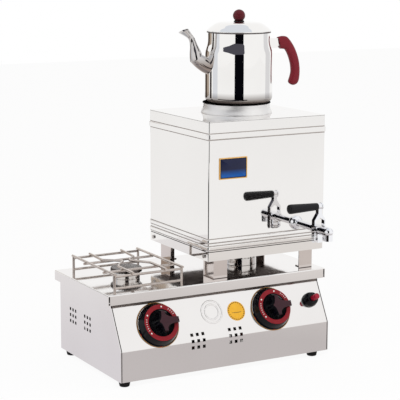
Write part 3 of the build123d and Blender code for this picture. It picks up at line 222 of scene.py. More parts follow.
# %% Cards that the steel mirrors
CARD_REACH, LEAF_REACH = 1.6, 1.58
TONE_NEAR, TONE_FAR = 0.3, 0.95
FLOOR_CARD_UP, TURN_CARD_UP, SKY_CARD_UP = 0.0004, 0.0008, 2.2
FLAG_Y = -0.263
# edge of the leaf: share of the way from its left to its right end, and height
LEAF = ((0.04, 1.234), (0.405, 0.929), (0.5625, 0.716), (0.877, 0.79), (0.953, 0.981), (0.97, 1.23),
        (0.97, 1.55), (0.5, 1.5))


def card(name, corners, tone, far_tone=None):
    """A stage sheet that only mirrors see, of one tone or turning to a second one away from the middle."""
    material, tree = blank(name + "_board")
    board = add(tree, "Emission", Color=linear(tone))
    if far_tone:
        where = add(tree, "TexCoord").outputs["Object"]
        away = add(tree, "VectorMath", {0: where}, operation="LENGTH").outputs["Value"]
        share = add(tree, "MapRange", {0: away}, From_Min=TONE_NEAR, From_Max=TONE_FAR)
        blend = add(tree, "MixRGB", {"Fac": share}, Color1=linear(tone), Color2=linear(far_tone))
        tree.links.new(blend.outputs[0], board.inputs["Color"])
    add(tree, "OutputMaterial", {"Surface": board})
    sheet = stage_sheet(name, corners, material)
    sheet.visible_camera = sheet.visible_diffuse = sheet.visible_shadow = False
    sheet.visible_transmission = sheet.visible_volume_scatter = False


def round_the_pot(reach, turns):
    """Places at a reach from the pot's middle, at angles in degrees from the camera's direction."""
    angle = AZIMUTH + np.radians(turns)
    return np.column_stack([pot_middle[0] + reach * np.sin(angle), pot_middle[1] - reach * np.cos(angle)])


def upright(name, turns, low, high, tone):
    """A standing card between two angles, from a low to a high edge."""
    left, right = round_the_pot(CARD_REACH, turns)
    card(name, [(*left, low), (*right, low), (*right, high), (*left, high)], tone)


def level_card(name, low, high, height, *tones):
    """A level oblong card between two corners seen from above."""
    (x0, y0), (x1, y1) = low, high
    card(name, [(x0, y0, height), (x1, y0, height), (x1, y1, height), (x0, y1, height)], *tones)


pot_low, pot_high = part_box("lid_knob")
pot_middle = ((pot_low + pot_high) / 2)[:2]
upright("black_card", (-14.5, 15.5), 0.0, 0.98, "#07070c")
stem, tip = round_the_pot(LEAF_REACH, (-72.0, 21.0))
card("grey_card", [(*(stem + share * (tip - stem)), height) for share, height in LEAF], "#4d4c55")
upright("umber_card", (-156, -134), 0.2, 0.75, "#54483f")
upright("tan_card", (-134, -119), 0.27, 0.75, "#b0a294")
upright("dark_card", (-114, -104), 0.2, 1.35, "#3b3330")
upright("left_pale_card", (-98, -76), 0.2, 1.35, "#e0e3e9")
upright("right_pale_card", (100, 128), 0.2, 1.35, "#e0e0e2")
flag_corners = ((-0.02, 0.335), (0.088, 0.335), (0.088, 0.42), (-0.02, 0.42))
card("tap_flag", [(x, FLAG_Y, z) for x, z in flag_corners], "#0a0a0e")
level_card("sky_card", (-1.4, -0.6), (0.8, 1.1), SKY_CARD_UP, "#e1e6ee")
level_card("front_floor_card", (-0.4, -0.95), (0.95, -0.1), FLOOR_CARD_UP, "#cbc6c6", "#e9e5e2")
level_card("side_floor_card", (-0.95, -0.1), (-0.17, 0.95), FLOOR_CARD_UP, "#e2dfe3", "#efedee")
near, far = (round_the_pot(reach, (-75, 10)) for reach in (1.3, 2.9))
turn_corners = (*near, *far[::-1])
card("turn_card", [(*corner, TURN_CARD_UP) for corner in turn_corners], "#1e1a1a")
print("cards stand about", tuple(pot_middle))

# %% [markdown]
# All finishes share one build: two tones and two roughnesses that drift into each other over some
# millimetres, and a finer relief. The sizes differ. A pressed sheet waves over tens of millimetres, so
# straight reflections wobble a little, while moulded plastic has a grain of about a millimetre. So each
# finish is a row of a table, and a few of them fade to another tone towards their foot.

# %% A finish with drift and relief
tank_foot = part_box("inner_tank")[0].z
pot_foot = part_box("teapot_body")[0].z
spout_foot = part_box("teapot_spout")[0].z
ball_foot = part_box("lid_knob")[0].z
plate_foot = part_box("nameplate")[0].z
# low and high height in metres, and the tone at the low one
FADE = {
    # painted shade: the tank turns near-black towards its floor for the shade under the boiler, and stays
    # bright above
    "tank_steel": (tank_foot + 0.006, tank_foot + 0.03, "#0d0b0a"),
    # painted reflection: the pot turns brown-grey towards its foot, and the spout's lower cone darker, for
    # the dark below that their curves mirror
    "teapot_steel": (pot_foot + 0.003, pot_foot + 0.020, "#6f645e"),
    "spout_steel": (spout_foot + 0.014, spout_foot + 0.03, "#9a8d86"),
    # painted shade: a dark line where the legs meet the deck
    "leg_sheet": (deck_high.z + 0.0004, deck_high.z + 0.0014, "#3a2f2f"),
    # the plate is navy above and a bright blue below
    "plate_blue": (plate_foot + 0.008, plate_foot + 0.019, "#0c56a6"),
    # painted shade: the ball turns nearly black in the groove at its foot
    "ball_resin": (ball_foot + 0.0012, ball_foot + 0.0058, "#140407"),
}
FINISH = {}


def finish(name, tone, other_tone, smooth, rough, drift_mm, relief_mm, depth_mm,
           gloss=0.5, metal=0.0, fade=None):
    """Noise over drift_mm mixes the two tones and the two roughnesses, and noise over relief_mm lifts the
    surface by up to depth_mm. Gloss is the strength of the shine and metal the share of metal. A fade turns
    to another tone towards its low height."""
    material, tree = blank(name)
    where = add(tree, "TexCoord").outputs["Object"]
    drift, fine = (
        add(tree, "TexNoise", {"Vector": where}, Scale=1000 / size_mm, Detail=detail).outputs["Fac"]
        for size_mm, detail in ((drift_mm, 3.0), (relief_mm, 2.0)))
    colour = add(tree, "MixRGB", {"Fac": drift}, Color1=linear(tone), Color2=linear(other_tone))
    if fade:
        low, high, low_tone = fade
        height = add(tree, "SeparateXYZ", {0: where}).outputs["Z"]
        share = add(tree, "MapRange", {0: height}, From_Min=high, From_Max=low)
        tones = {"Fac": share, "Color1": colour}
        colour = add(tree, "MixRGB", tones, Color2=linear(low_tone))
    shine = add(tree, "MapRange", {0: drift}, From_Min=0.3, From_Max=0.7, To_Min=smooth, To_Max=rough)
    relief = add(tree, "Bump", {"Height": fine}, Distance=depth_mm / 1000)
    links = {"Base Color": colour, "Roughness": shine, "Normal": relief}
    shader = add(tree, "BsdfPrincipled", links, Metallic=metal, Specular_IOR_Level=gloss)
    add(tree, "OutputMaterial", {"Surface": shader})
    return material


def make(table, **kind):
    """Makes each finish of a table, with its fade if it has one."""
    for key, row in table.items():
        FINISH[key] = finish(*row, fade=FADE.get(key), **kind)
    print("made", *table)


print("finishes with a fade:", sorted(FADE))

# %% [markdown]
# The case, the boiler and the teapot are stainless steel, polished to a mirror. The sheet of the case and
# the boiler waves a little between its bends, the spun teapot is truer, and the tap is chromed brass, the
# brightest of all.

# %% Steels and chrome
# rows: name, two tones, two roughnesses, then drift, relief and depth of the relief in millimetres
make({
    # mirror-polished sheet: pale, with reflections that wobble over a hand's breadth
    "case_steel": ("polished_case_sheet", "#f2f0ef", "#eae7e5", 0.05, 0.09, 130, 95, 0.30),
    # the same polish on a flatter sheet: clearer reflections and a slower wobble
    "boiler_steel": ("polished_boiler_sheet", "#f2f0ee", "#ebe9e7", 0.03, 0.06, 160, 110, 0.25),
    # the legs are a greyer sheet
    "leg_sheet": ("polished_leg_sheet", "#ddd5d1", "#d0c7c3", 0.04, 0.08, 60, 50, 0.15),
    # spun and buffed: hardly any wave, with faint buffing haze
    "teapot_steel": ("buffed_teapot_steel", "#f6f5f3", "#f0eeec", 0.02, 0.05, 40, 60, 0.05),
    # the pot's steel, painted darker for the dim surroundings that the spout mirrors, and a little hazy
    "spout_steel": ("heat_tinted_spout_steel", "#d4d1cf", "#bebab8", 0.04, 0.09, 30, 40, 0.05),
    # the steam collar is left satin, so it shows no clear picture
    "collar_satin": ("satin_collar_steel", "#f8f7f6", "#efedeb", 0.42, 0.52, 40, 30, 0.05),
    # fired sheet: dull, with blurred reflections
    "tank_steel": ("fired_tank_steel", "#cfcac5", "#bdb6b0", 0.25, 0.4, 40, 12, 0.1),
    # chrome over brass: bluish and very bright
    "tap_chrome": ("chromed_brass", "#f4f4f6", "#ebecf0", 0.02, 0.06, 12, 25, 0.03),
    # drawn wire, chromed: softer than the tap
    "grate_wire": ("chromed_drawn_wire", "#d6cdc7", "#b3a8a0", 0.05, 0.12, 9, 3, 0.02),
    # zinc-plated fasteners: greyer and duller
    "fastener_steel": ("zinc_plated_screw", "#d2cdc9", "#b8b3b0", 0.2, 0.32, 3, 1.5, 0.02),
    # turned steel: satin, with a fine grain
    "spindle_steel": ("turned_steel_spindle", "#cfccc8", "#b9b5b1", 0.2, 0.3, 5, 0.8, 0.02),
}, metal=1.0)

# %% [markdown]
# The plastics are moulded. The knobs are a smooth black thermoplastic, the tap's grip a dull black resin,
# and the teapot's grip and ball a maroon one. Their colour hardly varies, so most of the look is a soft
# gloss over a fine grain. A real mould leaves a grain of a tenth of a millimetre or less, too fine to
# show in the render, so it is drawn at nearly a millimetre.

# %% Plastics, rubber and prints
# rows as above, then the gloss and the share of metal where they are not the usual ones
make({
    # glossy moulded plastic: sharp highlights on a near-black
    "black_plastic": ("moulded_black_plastic", "#040409", "#09080f", 0.14, 0.24, 22, 0.8, 0.01, 0.22),
    # floor of the knob's dish: the same plastic left as it came out of a polished mould
    "dish_plastic": ("mirror_moulded_plastic", "#08080a", "#0f0e11", 0.04, 0.08, 22, 0.8, 0.004, 1.0),
    # dial disc: the same plastic, printed and lacquered, so it is glossier and bluer
    "dial_disc": ("lacquered_dial_black", "#0b0b10", "#12131b", 0.08, 0.16, 15, 0.8, 0.005, 0.35),
    # print on the dial ring and the disc: flat colour with a soft shine, the gold a little metallic
    "dial_red": ("printed_dial_red", "#8f1a25", "#74121b", 0.25, 0.36, 9, 0.7, 0.01, 0.2),
    "dial_white": ("printed_dial_white", "#efe9e4", "#d8cfc9", 0.35, 0.5, 4, 0.7, 0.01),
    "dial_gold": ("printed_dial_gold", "#e0a850", "#c98b3e", 0.3, 0.42, 6, 0.7, 0.01, 0.5, 0.3),
    # the face of the grip, with a maroon tint over the black
    "grip_face": ("tinted_grip_plastic", "#3a1420", "#280d16", 0.28, 0.4, 12, 0.8, 0.01, 0.3),
    # phenolic resin: dull, with little shine
    "black_bakelite": ("black_phenolic_resin", "#08070b", "#100f14", 0.34, 0.46, 14, 0.9, 0.02, 0.25),
    "maroon_bakelite": ("maroon_phenolic_resin", "#6c1420", "#7c1c29", 0.3, 0.44, 18, 0.9, 0.02, 0.22),
    "ball_resin": ("maroon_ball_resin", "#4f0e18", "#5d1420", 0.3, 0.44, 18, 0.9, 0.02, 0.22),
    # moulded red plastic: bright, with a clear highlight
    "red_button": ("moulded_red_plastic", "#a41a33", "#8b1229", 0.18, 0.28, 6, 0.7, 0.01, 0.3),
    # rubber: matt, greyed where it has been rubbed
    "foot_rubber": ("moulded_rubber", "#0e0d0d", "#191718", 0.7, 0.85, 7, 0.9, 0.04, 0.2),
    # silicone: a warm red with a soft, waxy shine
    "lead_silicone": ("silicone_sleeve", "#c4422f", "#a83626", 0.5, 0.62, 8, 1.0, 0.03),
    # glazed ceramic: off-white with a clear highlight
    "electrode_ceramic": ("glazed_ceramic", "#ece6db", "#ddd4c4", 0.2, 0.32, 5, 1.2, 0.01),
    # mineral wool: matt, yellowish and fuzzy
    "mineral_wool": ("mineral_wool_felt", "#cdbf98", "#a8966c", 0.9, 1.0, 8, 1.5, 0.6),
    # enamelled plate with a dark border and a gilt edge: deep colour under a clear gloss
    "plate_blue": ("blue_plate_enamel", "#0e1330", "#141b40", 0.18, 0.28, 26, 1.0, 0.01, 0.3),
    "plate_border": ("dark_plate_border", "#14172a", "#1c2036", 0.25, 0.35, 12, 1.0, 0.01, 0.2),
    "plate_print": ("gilt_plate_edge", "#f0c27a", "#dca656", 0.25, 0.4, 9, 1.0, 0.02, 0.5, 0.3),
    # printed foil: warm amber with a soft shine, and brown lines on it
    "badge_print": ("amber_printed_foil", "#f0b824", "#e2a416", 0.3, 0.42, 9, 1.0, 0.01),
    "badge_line": ("brown_printed_line", "#7a5418", "#5f3f10", 0.35, 0.5, 5, 1.0, 0.01),
})

# %% [markdown]
# Dark lines are as much of the look as the bright sheet: joints between panels hold shadow and grease,
# painted shade darkens the sheet under the boiler, the edge where the pot sits, the lid's rolled rim and
# the deck's hem, and the pot's foot is painted brown for what it mirrors. Each gets a dull finish with
# little shine.

# %% Joints, painted shade and painted reflection
make({
    # grease and shadow in a joint between two sheets
    "joint": ("greasy_joint_line", "#221d1e", "#362f30", 0.6, 0.8, 8, 1.0, 0.02, 0.0),
    # painted shade under the boiler: a dull grey sheet that reads dark in its own shadow
    "soot": ("burner_soot", "#8d8683", "#776f6c", 0.9, 1.0, 20, 2.0, 0.1, 0.0),
    # painted shade: the gap where the pot sits on the collar's lip, drawn as a black edge
    "burnt_edge": ("heat_blackened_edge", "#050404", "#0c0a09", 0.5, 0.65, 12, 1.5, 0.02, 0.0),
    # painted reflection: the pot's foot is dull and brown for the dark ring and floor that it mirrors
    "pot_foot": ("steam_stained_foot_steel", "#8f837c", "#7a6f69", 0.35, 0.5, 25, 6, 0.03, 0.4),
    # painted shade: the rolled rim is darkened like the gap under the lid
    "rolled_rim": ("tarnished_rolled_rim", "#564e4d", "#433c3c", 0.3, 0.42, 10, 2.0, 0.02, 0.3),
    # shade in the bend where a rib leaves the sheet
    "rib_shade": ("rib_bend_shade", "#b5aeaa", "#9a938f", 0.5, 0.7, 12, 1.0, 0.02, 0.0),
    # hem of the deck's rim: the same steel, painted darker for the shade it stands in under the rim
    "hem": ("raw_hem_steel", "#8a807b", "#786f6b", 0.35, 0.5, 30, 4.0, 0.03, 0.3),
})

# %% [markdown]
# The gas side is brass valves, drawn pipes, cast burner cups and iron caps. Most of it is inside the
# case, and shows only through the vents and under the grate. The legs and the tap's stem have looks of
# their own.

# %% Brass, pipes and burners
make({
    # machined brass: warm yellow and satin
    "valve_brass": ("machined_brass", "#cfa850", "#b58c3c", 0.22, 0.34, 7, 0.8, 0.02),
    # drawn pipe: grey and satin, with soft reflections
    "gas_pipe": ("drawn_gas_pipe", "#b9b2aa", "#9d958c", 0.3, 0.42, 9, 1.2, 0.03),
    # buffed cast cup: bright, with a slightly uneven mirror
    "burner_alloy": ("buffed_burner_alloy", "#e2dfdc", "#cbc6c2", 0.07, 0.14, 9, 6, 0.06),
    # cast iron cap, blackened by the flame: dark, with a faint sheen
    "burner_cap_iron": ("blackened_cast_iron", "#4d4745", "#635c59", 0.2, 0.34, 6, 1.4, 0.05),
}, metal=1.0)
slot_of = {part["node"]: part["material_slot"] for part in frame["record"]["subparts"]}
look_of = {**slot_of, "boiler_legs": "leg_sheet", "tap_stem": "tap_chrome"}
for name, node in frame["nodes"].items():
    for slot in node.material_slots:
        slot.material = FINISH[look_of[name]]
print("dressed", len(frame["nodes"]), "solids in", len(set(slot_of.values())), "slots")

# %% [markdown]
# Every new piece is a surface worked out with numpy: a grid of points, one row for each ring. A few
# helpers make the grids. One rounds the corners of a line, one draws a smooth curve through points, one
# turns a profile about an axis as a lathe does, and one carries a ring along a path as a bent bar does.

# %% Lines, turned shapes and bars
def soften(corners, radius, steps):
    """Rounds the inner corners of a line: each becomes a quadratic arc that starts and ends radius away."""
    line = np.asarray(corners, float)
    corner, to_last, to_next = line[1:-1], line[:-2] - line[1:-1], line[2:] - line[1:-1]
    last_run, next_run = np.linalg.norm(to_last, axis=1), np.linalg.norm(to_next, axis=1)
    reach = np.minimum(np.broadcast_to(radius, len(corner)), 0.48 * np.minimum(last_run, next_run))
    start = corner + to_last * (reach / last_run)[:, None]
    end = corner + to_next * (reach / next_run)[:, None]
    t = np.linspace(0, 1, steps)[None, :, None]
    arcs = (1 - t) ** 2 * start[:, None] + 2 * t * (1 - t) * corner[:, None] + t ** 2 * end[:, None]
    return np.vstack([line[:1], arcs.reshape(-1, line.shape[1]), line[-1:]])


def through(points, count):
    """A Catmull-Rom curve through the points: on each span a cubic with slopes from the neighbours."""
    p = np.asarray(points, float)
    p = np.vstack([2 * p[:1] - p[1:2], p, 2 * p[-1:] - p[-2:-1]])
    u = np.linspace(0, len(p) - 3, count)
    i = np.minimum(u.astype(int), len(p) - 4)
    t = (u - i)[:, None]
    a, b, c, d = p[i], p[i + 1], p[i + 2], p[i + 3]
    bend = 2 * a - 5 * b + 4 * c - d
    return 0.5 * (2 * b + (c - a) * t + bend * t ** 2 + (3 * b - a - 3 * c + d) * t ** 3)


def full_turn(count):
    """Even angles once round."""
    return np.linspace(0, 2 * np.pi, count, endpoint=False)


def lathe(profile, turns=96):
    """Turns a profile of (radius, height) about Z: the point at angle a is (r cos a, r sin a, h)."""
    profile = np.asarray(profile, float)
    angle = full_turn(turns)
    r, h = profile[:, :1], profile[:, 1:]
    return np.stack([r * np.cos(angle), r * np.sin(angle), h + 0 * angle], axis=-1)


def squarish(turns, power):
    """A ring that is round (power 2) or squarer (4): x = cos^(2/power), y = sin^(2/power), signs kept."""
    angle = full_turn(turns)
    return (np.sign(f) * np.abs(f) ** (2 / power) for f in (np.cos(angle), np.sin(angle)))


def bar(path, half, side, turns, power):
    """Carries a squarish ring along a path. Half gives its half sizes along the side and across it."""
    path, side = np.asarray(path, float), np.asarray(side, float)
    ahead = np.gradient(path, axis=0)
    ahead /= np.linalg.norm(ahead, axis=1)[:, None]
    wide = side - (ahead @ side)[:, None] * ahead
    wide /= np.linalg.norm(wide, axis=1)[:, None]
    tall = np.cross(ahead, wide)
    half = np.broadcast_to(half, (len(path), 2))
    x, y = squarish(turns, power)
    across, along = half[:, :1] * x, half[:, 1:] * y
    return path[:, None] + wide[:, None] * across[..., None] + tall[:, None] * along[..., None]


def band(outline, inset, low, high):
    """A closed band round a flat outline, between two heights. Its inside is the outline scaled about its
    middle, so that the farthest sides move in by the inset."""
    outline = np.asarray(outline, float)
    middle = (outline.min(0) + outline.max(0)) / 2
    half = (outline.max(0) - outline.min(0)) / 2
    inside = middle + (outline - middle) * (half - inset) / half
    rings = ((outline, low), (outline, high), (inside, high), (inside, low))
    return np.stack([np.column_stack([ring, np.full(len(ring), height)]) for ring, height in rings])


UPRIGHT = ((1, 0, 0), (0, 1, 0), (0, 0, 1))
FACING_FRONT = ((1, 0, 0), (0, 0, 1), (0, -1, 0))


def place(origin, across, up, out):
    """Turns local millimetres along three directions from an origin in drawing millimetres into metres."""
    axes = np.array([across, up, out], float)
    return lambda points: at(np.asarray(points) @ axes + np.asarray(origin, float))


print("points of a rounded corner:", len(soften([(0, 0), (1, 0), (1, 1)], 0.2, 7)))

# %% [markdown]
# A grid becomes a mesh by joining each ring to the next with quads. A grid of "caps" gets its two ends
# closed, one of "loop" joins its last ring to its first, and one of "poles" already ends in points.
# Doubled points are merged and the faces turned outwards, and edges sharper than an angle stay crisp.

# %% From grids to a piece
def skin(name, grids, ends, body, look, nodes=(), slot=None, sharp=38):
    """Makes one piece from grids that end alike, dresses it, and lets it ride on a body and stand for its
    solids. The slot argument is not used."""
    points, faces, start = [], [], 0
    for grid in grids:
        index = np.arange(grid.shape[0] * grid.shape[1]).reshape(grid.shape[:2]) + start
        last, after = (index, np.roll(index, -1, 0)) if ends == "loop" else (index[:-1], index[1:])
        quads = np.stack([last, np.roll(last, -1, 1), np.roll(after, -1, 1), after], -1)
        faces += quads.reshape(-1, 4).tolist()
        if ends == "caps":
            faces += [index[0, ::-1].tolist(), index[-1].tolist()]
        points.append(grid.reshape(-1, 3))
        start += index.size
    mesh = bpy.data.meshes.new(name)
    mesh.from_pydata(np.vstack(points).tolist(), [], faces)
    work = bmesh.new()
    work.from_mesh(mesh)
    bmesh.ops.remove_doubles(work, verts=work.verts, dist=1e-6)
    bmesh.ops.recalc_face_normals(work, faces=work.faces)
    work.to_mesh(mesh)
    work.free()
    mesh.shade_smooth()
    mesh.set_sharp_from_angle(angle=np.radians(sharp))
    mesh.materials.append(FINISH[look])
    piece = stand(name, mesh)
    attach(piece, body)
    if nodes:
        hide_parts(*nodes)
    slot = slot or look
    print(name, "on", body, "with", len(mesh.polygons), "faces")


# %% [markdown]
# The teapot is spun from one sheet: a straight wall, a shoulder that leans in, a straight neck and a
# rounded foot. A lathe profile gives it exactly. It goes up the outside, over the mouth and down the
# inside, so the wall is real.

# %% Teapot body
POT_TURN, POT_STEPS = np.radians(-8.0), 144
POT_R, POT_NECK_R, POT_FOOT_R, POT_WALL = 61.7, 56.6, 55.5, 1.0
POT_FOOT_H, POT_SHOULDER, POT_NECK, POT_H = 5.5, 90.0, 107.0, 127.0
FOOT_BAND_OUT, FOOT_BAND_LOW, FOOT_BAND_HIGH, FOOT_BAND_THICK = 0.06, 0.4, 5.3, 0.3
RIM_R, RIM_HALF, RIM_DOWN = 57.4, 0.9, 1.1
ball_low, ball_high = spot("lid_knob")
pot_axis = ((ball_low + ball_high) / 2)[:2]
pot_seat = spot("teapot_body")[0][2]
pot_axes = ((np.cos(POT_TURN), np.sin(POT_TURN), 0), (-np.sin(POT_TURN), np.cos(POT_TURN), 0), (0, 0, 1))
pot = place((*pot_axis, pot_seat), *pot_axes)


def pot_profile(inset):
    """The pot's wall from the middle of its foot to its mouth, set in by an inset."""
    side, neck = POT_R - inset, POT_NECK_R - inset
    corners = [(0, inset), (POT_FOOT_R, inset), (side, POT_FOOT_H + inset / 2), (side, POT_SHOULDER),
               (neck, POT_NECK), (neck, POT_H)]
    return soften(corners, (7, 7, 4.5, 6), 9)


wall = np.vstack([pot_profile(0), pot_profile(POT_WALL)[::-1]])
skin("teapot_pot", [pot(lathe(wall, POT_STEPS))], "poles", "teapot", "teapot_steel", ["teapot_body"])
# a thin brown band round the pot's foot: painted reflection of the dark ring and floor below it
foot_line = pot_profile(-FOOT_BAND_OUT)
foot_line = foot_line[(foot_line[:, 1] > FOOT_BAND_LOW) & (foot_line[:, 1] < FOOT_BAND_HIGH)]
foot_band = lathe(np.vstack([foot_line, foot_line[::-1] - (FOOT_BAND_THICK, 0)]), POT_STEPS)
skin("teapot_foot_stain", [pot(foot_band)], "loop", "teapot", "pot_foot", slot="teapot_steel")
# the rolled rim under the lid is dark with painted shade
angle = full_turn(14)
rolled = np.column_stack([RIM_R + RIM_HALF * np.cos(angle), POT_H - RIM_DOWN + RIM_HALF * np.sin(angle)])
rolled = pot(lathe(rolled, POT_STEPS))
skin("teapot_rolled_rim", [rolled], "loop", "teapot", "rolled_rim", slot="teapot_steel")

# %% [markdown]
# The spout is a wide cone welded to the pot, with a tube mitred on to it that narrows and opens into a
# pointed lip. It could be a curve with a bevel, but its width and its lean change all the way, so rings
# are worked out along two smooth lines that share the ring of the mitre, where the crease stays sharp.
# The first ring stands upright in the pot's wall.

# %% Teapot spout
SPOUT_WALL = 0.9
# outward and upward places, radius, and lean from level in degrees
SPOUT_MITRE = (83.5, 80.8, 12.1, 56)
SPOUT_CONE = ((59.4, 64.8, 14.4, 0), (66.5, 68.6, 13.6, 28), (74.0, 73.5, 13.0, 38), SPOUT_MITRE)
SPOUT_TUBE = (SPOUT_MITRE, (84.7, 92.0, 10.1, 80), (87.5, 103.0, 6.9, 78), (91.6, 115.0, 5.4, 62),
              (98.0, 122.6, 5.9, 54), (107.3, 130.0, 9.5, 68))


def spout_tube(thinner):
    """Rings along the spout: each is a circle in the plane across its lean."""
    ring = np.vstack([through(SPOUT_CONE, 30), through(SPOUT_TUBE, 60)[1:]])
    out, high, size, lean = ring[:, :1], ring[:, 1:2], ring[:, 2:3] - thinner, np.radians(ring[:, 3:])
    angle = full_turn(40)
    x = -out - size * np.sin(angle) * np.sin(lean)
    z = high - size * np.sin(angle) * np.cos(lean)
    return np.stack([x, size * np.cos(angle), z], -1)


spout = pot(np.concatenate([spout_tube(0), spout_tube(SPOUT_WALL)[::-1]]))
skin("teapot_spout_tube", [spout], "loop", "teapot", "spout_steel", ["teapot_spout"], "teapot_steel", 26)

# %% [markdown]
# The lid is pressed: nearly flat on top, with a soft brow that falls to a rolled rim, and a ring below
# that keeps it in the mouth. The ball on it is moulded in one with a short neck and a flat foot. Both
# could be sculpted from a flattened sphere, but they are round about one axis, so a lathe profile each is
# simpler and truer.

# %% Lid and ball
LID_R, LID_TOP, LID_RING_H, LID_PLAY, LID_SHEET = 58.4, 17.6, 7.0, 0.5, 1.0
BALL_R, BALL_UP = 11.1, 10.7
ring_out = POT_NECK_R - POT_WALL - LID_PLAY
ring_in = ring_out - LID_SHEET
dome = through([(0, LID_TOP), (12, LID_TOP), (37, LID_TOP - 1.6), (51, 8.4), (LID_R, 1.9)], 40)
rim = soften([(LID_R, 1.9), (LID_R + 0.5, 0.9), (LID_R - 0.4, 0.0), (ring_out, 0.0)], 0.5, 5)
ring = soften([(ring_out, 0), (ring_out, -LID_RING_H), (ring_in, -LID_RING_H), (ring_in, 1.0)], 0.4, 4)
inside = LID_TOP - LID_SHEET
under = through([(ring_in, 1.0), (50.4, 7.4), (37, inside - 1.6), (12, inside), (0, inside)], 40)
lid = lathe(np.vstack([dome, rim, ring, under]), POT_STEPS) + (0, 0, POT_H)
skin("teapot_lid_shell", [pot(lid)], "poles", "lid", "teapot_steel", ["teapot_lid"])
angle = np.radians(np.linspace(-46, 90, 36))
ball = np.column_stack([BALL_R * np.cos(angle), BALL_UP + BALL_R * np.sin(angle)])
foot = soften([(0, 0), (9.6, 0), (9.4, 1.5), (7.2, 2.4), (ball[0, 0], ball[0, 1])], (0.4, 0.8, 0.8), 5)
knob_shape = lathe(np.vstack([foot, ball[1:]]), 64) + (0, 0, POT_H + LID_TOP)
skin("lid_ball", [pot(knob_shape)], "poles", "lid", "ball_resin", ["lid_knob"], "maroon_bakelite")

# %% [markdown]
# The grip is a moulded bar that covers the end of its bracket, humps over and hangs down to a hooked end.
# Its outer and its inner edge are two drawn lines with a width at each step, and a rounded oblong ring is
# stretched between them.

# %% Teapot grip
# outer edge, inner edge (each outward and upward), half width
GRIP_EDGES = (
    (77.2, 114.6, 81.2, 94.6, 6.4), (77.6, 115.3, 82.0, 93.7, 7.0), (86.0, 117.0, 87.5, 93.3, 7.2),
    (94.5, 115.6, 91.0, 92.5, 7.2), (101.2, 109.2, 93.6, 89.6, 7.2), (107.5, 100.5, 96.0, 85.6, 7.1),
    (112.9, 90.6, 98.6, 80.0, 7.0), (116.8, 80.5, 101.3, 72.6, 7.0), (119.7, 70.5, 103.3, 64.8, 7.0),
    (121.3, 59.5, 104.4, 57.0, 7.0), (121.6, 49.5, 104.5, 49.5, 7.1), (120.9, 40.0, 102.3, 41.2, 7.2),
    (119.4, 33.5, 100.2, 35.0, 7.2), (116.2, 28.8, 100.4, 31.0, 6.4), (111.5, 26.5, 103.6, 28.0, 4.2),
    (108.0, 26.2, 107.0, 26.4, 0.6),
)


def between(edges, turns, power):
    """Squarish rings between two edges: their middle plus y times half their distance, and x times the half
    width to the side."""
    outer, inner, wide = edges[:, 0:2], edges[:, 2:4], edges[:, 4:5]
    across, along = squarish(turns, power)
    middle, half = (outer + inner) / 2, (outer - inner) / 2
    flat = middle[:, None] + half[:, None] * along[:, None]
    return np.stack([flat[..., 0], wide * across, flat[..., 1]], -1)


grip_bar = between(through(GRIP_EDGES, 110), 36, 2.6)
skin("teapot_grip", [pot(grip_bar)], "caps", "teapot", "maroon_bakelite", ["teapot_handle"], sharp=50)

# %% [markdown]
# Below the pot stands the steam collar, a spun ring with a foot that flares on the cover and a lip turned
# in at the top. The pot sits on that lip. A thickened tube could stand for it, but the flare and the lip
# need a drawn section, so it is a closed profile turned on the lathe.

# %% Steam collar
RING_R, RING_FOOT_R, RING_WALL, LIP_R = 60.5, 65.0, 2.0, 50.0
SEAT_R, SEAT_IN, SEAT_DOWN, SEAT_SKIN, SEAT_GAP = 62.0, 50.5, 1.7, 0.4, 0.03
ring_low, ring_high = spot("steam_collar")
cover_top = spot("top_cover")[1][2]
ring_h, ring_foot = ring_high[2] - cover_top, ring_low[2] - cover_top
lip_h, bore = ring_h - SEAT_SKIN, RING_R - RING_WALL
outer = soften([(RING_R, ring_foot), (RING_R, 0), (RING_FOOT_R, 0), (RING_FOOT_R, 1.0), (RING_R, 9.5),
                (RING_R, lip_h), (LIP_R, lip_h)], (0.3, 0.3, 0.8, 6, 2.4), 8)
inner = soften([(LIP_R, lip_h), (LIP_R, lip_h - RING_WALL), (bore, lip_h - RING_WALL), (bore, ring_foot)],
               (0.6, 2.0), 6)
collar_place = place((*((ring_low + ring_high) / 2)[:2], cover_top), *UPRIGHT)
collar = collar_place(lathe(np.vstack([outer, inner]), 128))
skin("steam_ring", [collar], "loop", "base", "collar_satin", ["steam_collar"], "boiler_steel")
# the black edge on the lip is painted shade in the gap under the pot's foot
seat_top, seat_low, seat_back, tucked = ring_h - SEAT_GAP, ring_h - SEAT_DOWN, RING_R - 0.5, lip_h - 0.1
seat = soften([(SEAT_IN, tucked), (SEAT_IN, seat_top), (SEAT_R, seat_top), (SEAT_R, seat_low),
               (seat_back, seat_low), (seat_back, tucked)], (0.1, 1.0, 0.4, 0.3), 5)
seat = collar_place(lathe(seat, 128))
skin("collar_seat_edge", [seat], "loop", "base", "burnt_edge", slot="boiler_steel")

# %% [markdown]
# The tap's rose is a small dome that hides the hole in the boiler's wall. The lever carries a turned
# grip, thicker towards its free end, and a domed bolt holds it from the other side of the eye. Bevelled
# cylinders would come close, but the real ones are turned, so each is a profile on the lathe, laid along
# its own axis.

